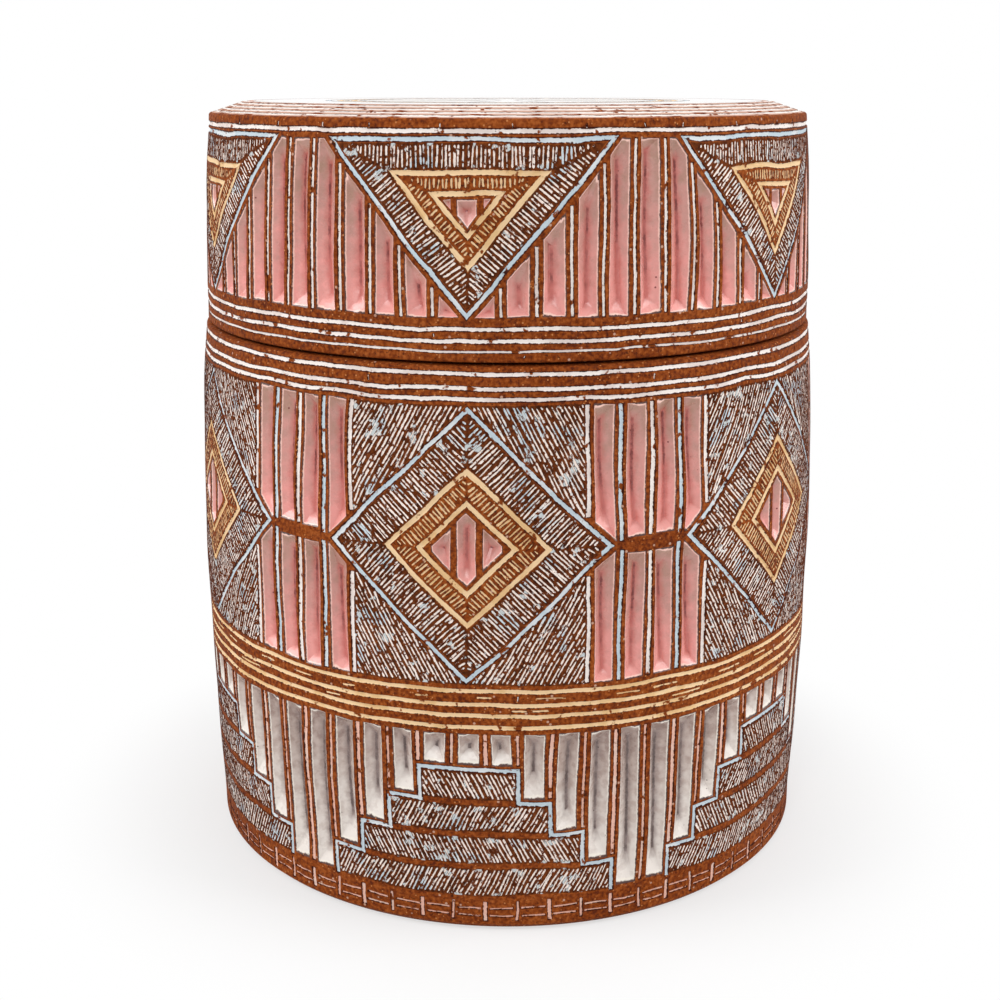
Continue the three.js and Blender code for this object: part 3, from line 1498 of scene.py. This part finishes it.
@dataclass(frozen=True)
class Scratches:
    """A broken row of level scratches, where slip has caught in a tool mark."""

    height: float
    count: int
    finish: Finish
    longest: float = 9.0
    longest_share: float = 0.55  # of the distance from scratch to scratch
    lengths: Point = (0.25, 1.0)  # as shares of the longest
    spread: Point = (0.02, 0.4)  # of each start, as a share of that distance

    def carve(self, cut: Carving, around: float) -> None:
        """Cut the scratches, at uneven steps round the pot.

        Args:
            cut: The carving to add to.
            around: The sheet's length round the pot.
        """
        step = around / self.count
        for i in range(self.count):
            start = cut.left + step * (i + cut.hand.uniform(*self.spread))
            end = start + min(self.longest, self.longest_share * step) * cut.hand.uniform(*self.lengths)
            ends = [cut.strayed((along, self.height), cut.stroke_stray) for along in (start, end)]
            cut.stroke(*ends, self.finish)


@dataclass(frozen=True)
class HatchedFigure:
    """A convex figure with an inlaid outline, a hatched border, an inlaid ladder and a gouged heart."""

    outline_width: float = 0.64
    hatch_from: float = 0.75
    ladder_from: float = 9.0
    ladder_to: float = 13.9
    ladder_width: float = 0.58
    ladder_clear: float = 0.02
    heart_from: float = 15.3
    heart_gouges: int = 5
    heart_pitch: float = 5.3
    heart_width: float = 4.2
    pitch: float = 0.90

    def carve(self, cut: Carving, corners: Outline) -> None:
        """Cut the figure.

        Args:
            cut: The carving to add to.
            corners: The figure's corners, counter-clockwise.
        """
        cut.line(corners, self.outline_width, Finish.BLUE, closed=True)
        gap = self.ladder_clear + cut.line_edge + self.ladder_width / 2
        self.border(cut, corners, self.hatch_from, self.ladder_from - gap, Finish.FROST)
        for reach in (self.ladder_from, self.ladder_to):
            cut.line(drawn_in(corners, reach), self.ladder_width, Finish.OCHRE, closed=True)
        self.border(cut, corners, self.ladder_from + gap, self.ladder_to - gap, Finish.OCHRE)
        heart = drawn_in(corners, self.heart_from)
        middle = sum(p[0] for p in (min(heart), max(heart))) / 2
        low, high = min(p[1] for p in heart), max(p[1] for p in heart)
        for k in centred(self.heart_gouges):
            left = middle + k * self.heart_pitch - self.heart_width / 2
            upright = rectangle(left, low, left + self.heart_width, high)
            cut.gouge(trimmed(upright, sides_of(heart)), Finish.PINK)

    def border(self, cut: Carving, corners: Outline, near: float, far: float, finish: Finish) -> None:
        """Hatch a border inside the figure, each side's strokes square to that side.

        Args:
            cut: The carving to add to.
            corners: The figure's corners.
            near: How far inside the outline the border starts.
            far: How far inside it ends.
            finish: The slip left in the strokes.
        """
        outer, inner = drawn_in(corners, near), drawn_in(corners, far)
        for i, start in enumerate(outer):
            after = (i + 1) % len(outer)
            degrees = math.degrees(math.atan2(outer[after][1] - start[1], outer[after][0] - start[0])) + 90
            side = [start, outer[after], inner[after], inner[i]]
            cut.hatch(side, degrees, self.pitch, finish, ground=finish is Finish.FROST)


@dataclass(frozen=True)
class TriangleZone:
    """The lid's wall: hatched triangles that hang from the rim, with pink gouges standing between them."""

    repeats: int = 6
    low: float = 136.7
    high: float = 171.6
    half_base: float = 29.5
    tip_lift: float = 0.6  # of the triangles' tips from the low edge
    gouges: int = 11
    gouge_width: float = 4.5
    gouge_lift: float = 0.3
    divider_width: float = 0.42
    clear: float = 1.4
    figure: HatchedFigure = HatchedFigure(ladder_from=6.4, ladder_to=10.3, heart_from=11.3)

    def carve(self, cut: Carving, around: float) -> None:
        """Cut the zone.

        Args:
            cut: The carving to add to.
            around: The sheet's length round the pot.
        """
        period = around / self.repeats
        for i in range(self.repeats):
            middle = (i + 0.5) * period
            base = [(middle + hand * self.half_base, self.high) for hand in (1, -1)]
            self.figure.carve(cut, [(middle, self.low + self.tip_lift), *base])
        for i in range(self.repeats + 1):
            self.gap(cut, i * period, period)

    def gap(self, cut: Carving, middle: float, period: float) -> None:
        """Cut the gouges and dividers of one gap between two triangles.

        Args:
            cut: The carving to add to.
            middle: The gap's middle.
            period: The distance from triangle to triangle.
        """
        half = period / 2
        corner = half - self.half_base
        tip = self.low + self.tip_lift
        slopes = [
            Side((middle + half, tip), (middle + corner, self.high), self.clear),
            Side((middle - corner, self.high), (middle - half, tip), self.clear),
        ]
        pitch = period / self.gouges
        floor = self.low + self.gouge_lift
        for k in centred(self.gouges):
            left = middle + k * pitch - self.gouge_width / 2
            upright = rectangle(left, floor, left + self.gouge_width, self.high)
            cut.gouge(trimmed(upright, slopes), Finish.PINK)
            divider = left + self.gouge_width / 2 + pitch / 2
            run = cut_run((divider, floor), (divider, self.high), slopes)
            if k < self.gouges // 2 and run:
                cut.line(run, self.divider_width, Finish.WHITE)


@dataclass(frozen=True)
class LozengeZone:
    """The body's middle: hatched lozenges, with pairs of pink gouges and hatched corners between them."""

    repeats: int = 6
    middle: float = 89.4
    half_height: float = 29.4
    half_width: float = 29.8
    reach: float = 30.1
    gouge_from: float = 1.2
    gouge_width: float = 4.5
    gouge_low: float = 1.6  # start of the inner gouges and their divider, from the zone's middle
    side_line: float = 7.0
    side_line_low: float = 0.8
    side_gouge: float = 8.2
    side_gouge_low: float = 1.0
    divider: float = 14.0
    divider_width: float = 0.62
    hatch_degrees: float = 62.0
    pitch: float = 0.90
    clear: float = 1.4
    figure: HatchedFigure = HatchedFigure()

    def carve(self, cut: Carving, around: float) -> None:
        """Cut the zone.

        Args:
            cut: The carving to add to.
            around: The sheet's length round the pot.
        """
        period = around / self.repeats
        for i in range(self.repeats):
            across = (i + 0.5) * period
            corners = [(across, self.middle - self.half_height), (across + self.half_width, self.middle)]
            corners += [(across, self.middle + self.half_height), (across - self.half_width, self.middle)]
            self.figure.carve(cut, corners)
        for i in range(self.repeats + 1):
            for hand in (-1, 1):
                for way in (-1, 1):
                    self.corner(cut, i * period, period / 2, hand, way)
            for way in (-1, 1):
                ends = [(i * period, self.middle + way * run) for run in (self.gouge_low, self.reach)]
                cut.line(ends, self.divider_width, Finish.WHITE)

    def corner(self, cut: Carving, across: float, half: float, hand: int, way: int) -> None:
        """Cut one quarter of a gap between two lozenges.

        Args:
            cut: The carving to add to.
            across: The gap's middle.
            half: Half the distance from lozenge to lozenge.
            hand: -1 for the gap's left, 1 for its right.
            way: -1 for the lower half, 1 for the upper half.
        """

        def laid(places: Outline) -> Outline:
            """Return places of the upper right quarter laid in this quarter."""
            moved = [(across + hand * x, self.middle + way * y) for x, y in places]
            return moved if hand * way > 0 else moved[::-1]

        edge = ((half - self.half_width, 0.0), (half, self.half_height))
        slope = [Side(*edge, self.clear)]
        high = self.reach
        pair = rectangle(self.gouge_from, self.gouge_low, self.gouge_from + self.gouge_width, high)
        cut.gouge(laid(pair), Finish.PINK)
        line = [(self.side_line, self.side_line_low), (self.side_line, high)]
        cut.line(laid(line), self.divider_width, Finish.BLUE)
        side = rectangle(self.side_gouge, self.side_gouge_low, self.side_gouge + self.gouge_width, high)
        cut.gouge(laid(trimmed(side, slope)), Finish.PINK)
        run = cut_run((self.divider, 0.0), (self.divider, high), slope)
        if run:
            cut.line(laid(run), self.divider_width, Finish.WHITE)
        rest = rectangle(self.divider + self.divider_width, 0.0, half, high)
        rest = trimmed(rest, [Side(*edge, self.figure.hatch_from)])
        slant = 90 + hand * way * (self.hatch_degrees - 90)
        cut.hatch(laid(rest), slant, self.pitch, Finish.FROST)


@dataclass(frozen=True)
class StepZone:
    """The body's foot: hatched stepped figures, with grey gouges that hang down over their steps."""

    repeats: int = 6
    low: float = 8.0
    high: float = 48.0
    tiers: int = 4
    tier_height: float = 7.9
    gouges: int = 11
    gouge_width: float = 4.7
    ramp_run: Point = (2.4, 5.6)  # least and most, over which a gouge climbs out at its foot
    outline_width: float = 0.64
    divider_widths: tuple[float, ...] = (0.58, 0.40)
    hatch_degrees: float = 64.0
    hatch_clear: float = 0.3
    pitch: float = 0.90
    clear: float = 1.1
    foot_low: float = 2.1
    foot_clear: float = 0.7
    foot_rows: tuple[float, ...] = (5.5, 3.6)
    foot_row_width: float = 0.28
    foot_gap: float = 0.8

    def carve(self, cut: Carving, around: float) -> None:
        """Cut the zone.

        Args:
            cut: The carving to add to.
            around: The sheet's length round the pot.
        """
        period = around / self.repeats
        step = period / self.gouges
        for i in range(self.repeats):
            middle = (i + 0.5) * period
            self.figure(cut, middle, step)
            for k in centred(self.gouges):
                floor = self.step_top(abs(k)) + self.clear
                left = middle + k * step - self.gouge_width / 2
                upright = rectangle(left, floor, left + self.gouge_width, self.high)
                cut.gouge(upright, Finish.GREY, self.ramp_run)
        for i in range(self.repeats * self.gouges + 1):
            k = abs(i % self.gouges - self.gouges / 2)
            floor = self.step_top(k - 0.5) + self.clear
            width = self.divider_widths[i % len(self.divider_widths)]
            cut.line([(i * step, floor), (i * step, self.high)], width, Finish.ROSE)
            self.foot(cut, i * step, step, width)

    def foot(self, cut: Carving, across: float, step: float, width: float) -> None:
        """Cut one upright under the figures, and the broken rows on its right.

        Args:
            cut: The carving to add to.
            across: The upright's place.
            step: The distance to the next upright.
            width: The upright's width.
        """
        stray = 2 * cut.unsteady
        upright = [(across, self.foot_low), (across, self.low - self.foot_clear)]
        cut.line([cut.strayed(p, stray) for p in upright], width, Finish.ROSE)
        for height in self.foot_rows:
            row = [(across + self.foot_gap, height), (across + step - self.foot_gap, height)]
            cut.line([cut.strayed(p, stray) for p in row], self.foot_row_width, Finish.ROSE)

    def step_top(self, steps_out: float) -> float:
        """Return the height of the stepped figure a number of steps from its middle."""
        tier = min(self.tiers, max(0, self.gouges // 2 - round(steps_out)))
        return self.low + tier * self.tier_height

    def figure(self, cut: Carving, middle: float, step: float) -> None:
        """Cut one stepped figure.

        Args:
            cut: The carving to add to.
            middle: Its middle.
            step: The width of one of its steps.
        """
        inside = self.outline_width / 2 + self.hatch_clear
        rise: Outline = []
        for tier in range(self.tiers):
            width = (self.gouges / 2 - tier - 1) * step
            low, high = self.low + tier * self.tier_height, self.low + (tier + 1) * self.tier_height
            rise += [(width, low), (width, high)]
            row = rectangle(middle - width + inside, low + inside, middle + width - inside, high - inside)
            slant = 90 + (-1) ** tier * (self.hatch_degrees - 90)
            cut.hatch(row, slant, self.pitch, Finish.FROST)
        left = [(middle - x, y) for x, y in rise]
        right = [(middle + x, y) for x, y in rise]
        cut.line(left + right[::-1], self.outline_width, Finish.BLUE)


@dataclass(frozen=True)
class TopZone:
    """The lid's top: inlaid rings on a washed bevel, then petals and inlaid rays under clear glaze."""

    bevel_rings: tuple[float, ...] = (68.65, 66.9, 65.15, 63.4)
    rings: tuple[tuple[float, Finish], ...] = (
        (60.8, Finish.ROSE),
        (42.6, Finish.BLUE),
        (39.8, Finish.OCHRE),
        (36.6, Finish.OCHRE),
        (34.6, Finish.BLUE),
    )
    bevel_width: float = 0.46
    ring_width: float = 0.75
    petals: int = 48
    petal_in: float = 44.6
    petal_out: float = 58.8
    petal_width: Point = (3.6, 5.2)
    ladder: Point = (37.3, 39.1)
    ladder_pitch: float = 1.17
    rays: int = 12
    ray_in: float = 6.75
    ray_out: float = 33.2
    ray_width: float = 0.60
    heart: float = 5.2
    heart_sides: int = 6

    def carve(self, cut: Carving) -> None:
        """Cut the lid's top.

        Args:
            cut: The carving to add to.
        """
        for radius in self.bevel_rings:
            self.ring(cut, radius, self.bevel_width, Finish.WHITE)
        for radius, finish in self.rings:
            self.ring(cut, radius, self.ring_width, finish)
        reaches = (self.petal_in, self.petal_out)
        low, high = (math.degrees(width / 2 / reach) for width, reach in zip(self.petal_width, reaches))
        corners = [(reaches[0], -low), (reaches[1], -high), (reaches[1], high), (reaches[0], low)]
        for i in range(self.petals):
            petal = [polar(reach, 360 * i / self.petals + angle) for reach, angle in corners]
            cut.cover(cut.place([cut.strayed(p, 2 * cut.unsteady) for p in petal]), Finish.PETAL)
        ticks = round(2 * math.pi * self.ladder[1] / self.ladder_pitch)
        for i in range(ticks):
            cut.stroke(*(polar(radius, 360 * i / ticks) for radius in self.ladder), Finish.OCHRE)
        for i in range(self.rays):
            ray = [polar(radius, 360 * (i + 0.5) / self.rays) for radius in (self.ray_in, self.ray_out)]
            cut.line(ray, self.ray_width, Finish.BLUE)
        heart = [polar(self.heart, 360 * i / self.heart_sides) for i in range(self.heart_sides)]
        cut.cover(cut.place(heart), Finish.PETAL)

    def ring(self, cut: Carving, radius: float, width: float, finish: Finish) -> None:
        """Cut one inlaid ring."""
        cut.line([polar(radius, 360 * i / COLUMNS) for i in range(COLUMNS)], width, finish, closed=True)


@dataclass
class JarBody:
    """The jar's body: carved barrel wall, foot, shoulder, collar and glazed inside."""

    profile: list[Point]
    turn: float = math.radians(24.0)
    seed: int = 41
    seam: float = 0.83
    lines: tuple[RoundLines, ...] = (
        RoundLines((125.8, 122.8, 120.75), 0.60, Finish.WHITE),
        RoundLines((57.9, 54.7, 52.2, 49.5), 0.52, Finish.OCHRE),
    )
    nicks: tuple[Nicks | Scratches, ...] = (
        Nicks(123.6, 125.0, 7),
        Nicks(55.5, 57.0, 5),
        Scratches(56.35, 34, Finish.OCHRE),
        Scratches(53.45, 12, Finish.OCHRE),
    )
    zones: tuple[LozengeZone, StepZone] = (LozengeZone(), StepZone())
    wall_top: float = 0.86  # of the wall's strips on the bake's map
    foot_room: Room = (0.01, 0.87, 0.49, 0.92)
    shoulder_room: Room = (0.01, 0.93, 0.49, 0.99)
    inside_room: Room = (0.51, 0.87, 0.99, 0.99)

    def build(self, palette: Palette) -> bpy.types.Object:
        """Build the body's mesh and dress it.

        Args:
            palette: The finishes.

        Returns:
            The body.
        """
        foot, shoulder = outer_wall(self.profile)
        wall = Wall(self.profile[foot:shoulder + 1], self.turn, self.seed, self.seam)
        under = self.profile[:foot] + [(wall.radius(wall.low), wall.low)]
        over = [(wall.radius(wall.high), wall.high)] + self.profile[shoulder + 1:]
        crown = max(range(len(over)), key=lambda i: over[i][1])
        skin = Skin("jar_body_carved")
        sheet = wall.carved(self.lines, self.nicks, self.zones)
        skin.add_sheet(sheet, wall.wrapped(sheet), wall.strip_map(sheet, self.wall_top))
        skin.add_turned(under, Finish.CLAY, self.turn, self.foot_room)
        skin.add_turned(over[:crown + 1], Finish.CLAY, self.turn, self.shoulder_room)
        skin.add_turned(over[crown:], Finish.LINER, self.turn, self.inside_room)
        body = skin.finished(palette)
        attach(body, "body")
        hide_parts("jar_body")
        return body


@dataclass
class Lid:
    """The lid: carved wall, carved top with its bevel, and glazed inside."""

    profile: list[Point]
    turn: float = math.radians(25.44)
    seed: int = 77
    seam: float = 2.62
    lines: tuple[RoundLines, ...] = (
        RoundLines((173.2,), 0.64, Finish.WHITE),
        RoundLines((134.75, 132.35), 0.58, Finish.WHITE),
        RoundLines((130.3,), 0.34, Finish.WHITE),
    )
    nicks: tuple[Nicks, ...] = (Nicks(173.55, 174.8, 34), Nicks(128.9, 129.6, 6), Nicks(133.1, 134.0, 7))
    zones: tuple[TriangleZone, ...] = (TriangleZone(),)
    top: TopZone = TopZone()
    top_line_depth: float = 0.07
    top_line_wall: float = 0.16
    top_stroke_depth: float = 0.06
    wall_top: float = 0.40  # of the wall's strips on the bake's map
    top_middle: Point = (0.285, 0.695)  # of the top on the bake's map
    top_radius: float = 0.28
    inside_room: Room = (0.59, 0.42, 0.99, 0.86)
    seat_room: Room = (0.59, 0.88, 0.99, 0.93)
    rim_room: Room = (0.59, 0.95, 0.99, 0.99)

    def carved_top(self, bevel: Point, table: Point) -> Sheet:
        """Cut the top's decoration.

        Args:
            bevel: Radius and height of the bevel's outer edge.
            table: Radius and height of its inner edge.

        Returns:
            The cut sheet.
        """
        cut = Carving(
            self.seed + 1,
            ground=Finish.WASH,
            line_depth=self.top_line_depth,
            line_wall=self.top_line_wall,
            stroke_depth=self.top_stroke_depth,
        )
        angles = column_angles(self.turn)
        for radius, _ in (bevel, table):
            ring = cut.place([(radius * math.sin(t), -radius * math.cos(t)) for t in angles])
            cut.chain(ring, closed=True)
        cut.cover(ring, Finish.TOP)
        self.top.carve(cut)
        return cut.net()

    def build(self, palette: Palette) -> bpy.types.Object:
        """Build the lid's mesh and dress it.

        Args:
            palette: The finishes.

        Returns:
            The lid.
        """
        bevel, table = self.profile[-3], self.profile[-2]
        mouth, rim = outer_wall(self.profile)
        base = min(range(mouth), key=lambda i: self.profile[i][1])
        wall = Wall(self.profile[mouth:rim + 1], self.turn, self.seed, self.seam)
        skin = Skin("lid_carved")
        sheet = wall.carved(self.lines, self.nicks, self.zones)
        skin.add_sheet(sheet, wall.wrapped(sheet), wall.strip_map(sheet, self.wall_top))
        sheet = self.carved_top(bevel, table)
        height = np.interp(np.hypot(*sheet.flat.T), (table[0], bevel[0]), (table[1], bevel[1]))
        places = np.column_stack([sheet.flat, height - sheet.depth])
        maps = sheet.flat[sheet.triangles].reshape(-1, 2) / bevel[0] * self.top_radius + self.top_middle
        skin.add_sheet(sheet, places, maps)
        skin.add_turned(self.profile[:base + 1], Finish.LINER, self.turn, self.inside_room)
        under = self.profile[base:mouth] + [(wall.radius(wall.low), wall.low)]
        skin.add_turned(under, Finish.CLAY, self.turn, self.seat_room)
        over = [(wall.radius(wall.high), wall.high)] + self.profile[rim + 1:-2]
        skin.add_turned(over, Finish.CLAY, self.turn, self.rim_room)
        lid = skin.finished(palette)
        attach(lid, "lid")
        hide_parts("lid")
        return lid


@dataclass
class Studio:
    """A pale floor that fades to white, soft lamps and a white surround."""

    floor_size: float = 8.0
    floor_colour: Colour = (0.74, 0.74, 0.74)
    floor_roughness: float = 0.9
    fade_from: float = 0.078
    fade_to: float = 0.125
    fade_least: float = 0.55  # share of white in the floor under the jar
    surround: float = 0.50
    aim: tuple[float, float, float] = (0.0, 0.0, 0.09)  # of the lamps, in metres
    # Name, place in metres, size in metres and power in watts
    lamps: tuple[tuple[str, tuple[float, float, float], float, float], ...] = (
        ("left", (-1.30, -0.15, 1.05), 0.9, 13.6),
        ("right", (1.30, -0.15, 0.95), 0.9, 13.6),
        ("front", (-0.25, -1.45, 0.95), 0.8, 9.2),
        ("top", (0.1, 0.35, 1.6), 1.2, 4.5),
    )

    def build(self) -> None:
        """Set up the floor, the lamps and the surround."""
        self.floor()
        for name, place, size, power in self.lamps:
            lamp = bpy.data.lights.new(name, "AREA")
            lamp.size = size
            lamp.energy = power
            stand = bpy.data.objects.new(name, lamp)
            stand.location = place
            stand.rotation_euler = (Vector(self.aim) - Vector(place)).to_track_quat("-Z", "Y").to_euler()
            bpy.context.scene.collection.objects.link(stand)
        self.world()

    def seen(self, nodes: bpy.types.Nodes, links: bpy.types.NodeLinks) -> Socket:
        """Tell the rays that show the surround to the eye from all others.

        Args:
            nodes: The nodes to add to.
            links: Their links.

        Returns:
            1 for rays from the camera and from glossy or clear surfaces, 0 for all others.
        """
        path = nodes.new("ShaderNodeLightPath")
        total = path.outputs["Is Camera Ray"]
        for name in ("Is Glossy Ray", "Is Transmission Ray"):
            either = nodes.new("ShaderNodeMath")
            either.operation = "MAXIMUM"
            links.new(total, either.inputs[0])
            links.new(path.outputs[name], either.inputs[1])
            total = either.outputs[0]
        return total

    def world(self) -> None:
        """Light the scene from all round, and show white behind it."""
        world = bpy.data.worlds.new("white_surround")
        world.use_nodes = True
        bpy.context.scene.world = world
        nodes, links = world.node_tree.nodes, world.node_tree.links
        level = nodes.new("ShaderNodeMapRange")
        level.inputs["To Min"].default_value = self.surround
        level.inputs["To Max"].default_value = 1.0
        links.new(self.seen(nodes, links), level.inputs["Value"])
        nodes["Background"].inputs["Color"].default_value = (1, 1, 1, 1)
        links.new(level.outputs["Result"], nodes["Background"].inputs["Strength"])

    def floor(self) -> None:
        """Lay the floor, which keeps the jar's shadow and turns white away from it."""
        half = self.floor_size / 2
        corners = [(x, y, 0) for x, y in rectangle(-half, -half, half, half)]
        mesh = bpy.data.meshes.new("floor")
        mesh.from_pydata(corners, [], [(0, 1, 2, 3)])
        floor = bpy.data.objects.new("floor", mesh)
        bpy.context.scene.collection.objects.link(floor)
        material = bpy.data.materials.new("pale_floor")
        material.use_nodes = True
        nodes, links = material.node_tree.nodes, material.node_tree.links
        surface = nodes["Principled BSDF"]
        surface.inputs["Base Color"].default_value = (*self.floor_colour, 1)
        surface.inputs["Roughness"].default_value = self.floor_roughness
        places = nodes.new("ShaderNodeTexCoord")
        distance = nodes.new("ShaderNodeVectorMath")
        distance.operation = "LENGTH"
        links.new(places.outputs["Object"], distance.inputs[0])
        fade = nodes.new("ShaderNodeMapRange")
        fade.interpolation_type = "SMOOTHSTEP"
        fade.inputs["From Min"].default_value = self.fade_from
        fade.inputs["From Max"].default_value = self.fade_to
        fade.inputs["To Min"].default_value = self.fade_least
        links.new(distance.outputs["Value"], fade.inputs["Value"])
        share = nodes.new("ShaderNodeMath")
        share.operation = "MULTIPLY"
        links.new(fade.outputs["Result"], share.inputs[0])
        links.new(self.seen(nodes, links), share.inputs[1])
        white = nodes.new("ShaderNodeEmission")
        mix = nodes.new("ShaderNodeMixShader")
        links.new(share.outputs[0], mix.inputs[0])
        links.new(surface.outputs[0], mix.inputs[1])
        links.new(white.outputs[0], mix.inputs[2])
        links.new(mix.outputs[0], nodes["Material Output"].inputs["Surface"])
        mesh.materials.append(material)


@dataclass(frozen=True)
class Viewpoint:
    """The camera's place in front of the jar."""

    place: tuple[float, float, float] = (-0.0018, -0.3628, 0.1828)
    down_degrees: float = 16.04
    lens: float = 52.66
    sensor: float = 36.0
    nearest: float = 0.01

    def build(self) -> None:
        """Set up the camera."""
        data = bpy.data.cameras.new("viewpoint")
        data.lens = self.lens
        data.sensor_width = self.sensor
        data.clip_start = self.nearest
        camera = bpy.data.objects.new("viewpoint", data)
        camera.location = self.place
        camera.rotation_euler = (math.radians(90 - self.down_degrees), 0, 0)
        bpy.context.scene.collection.objects.link(camera)
        bpy.context.scene.camera = camera


def main() -> None:
    """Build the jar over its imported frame, with its studio and camera."""
    logging.basicConfig(level=logging.INFO, format="%(message)s")
    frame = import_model()
    bpy.context.scene.view_settings.view_transform = "Standard"
    palette = Palette()
    body = JarBody(turned_profile(frame, "jar_body")).build(palette)
    LOG.info("%s built", body.name)
    lid = Lid(turned_profile(frame, "lid")).build(palette)
    LOG.info("%s built", lid.name)
    Studio().build()
    Viewpoint().build()


if __name__ == "__main__":
    main()
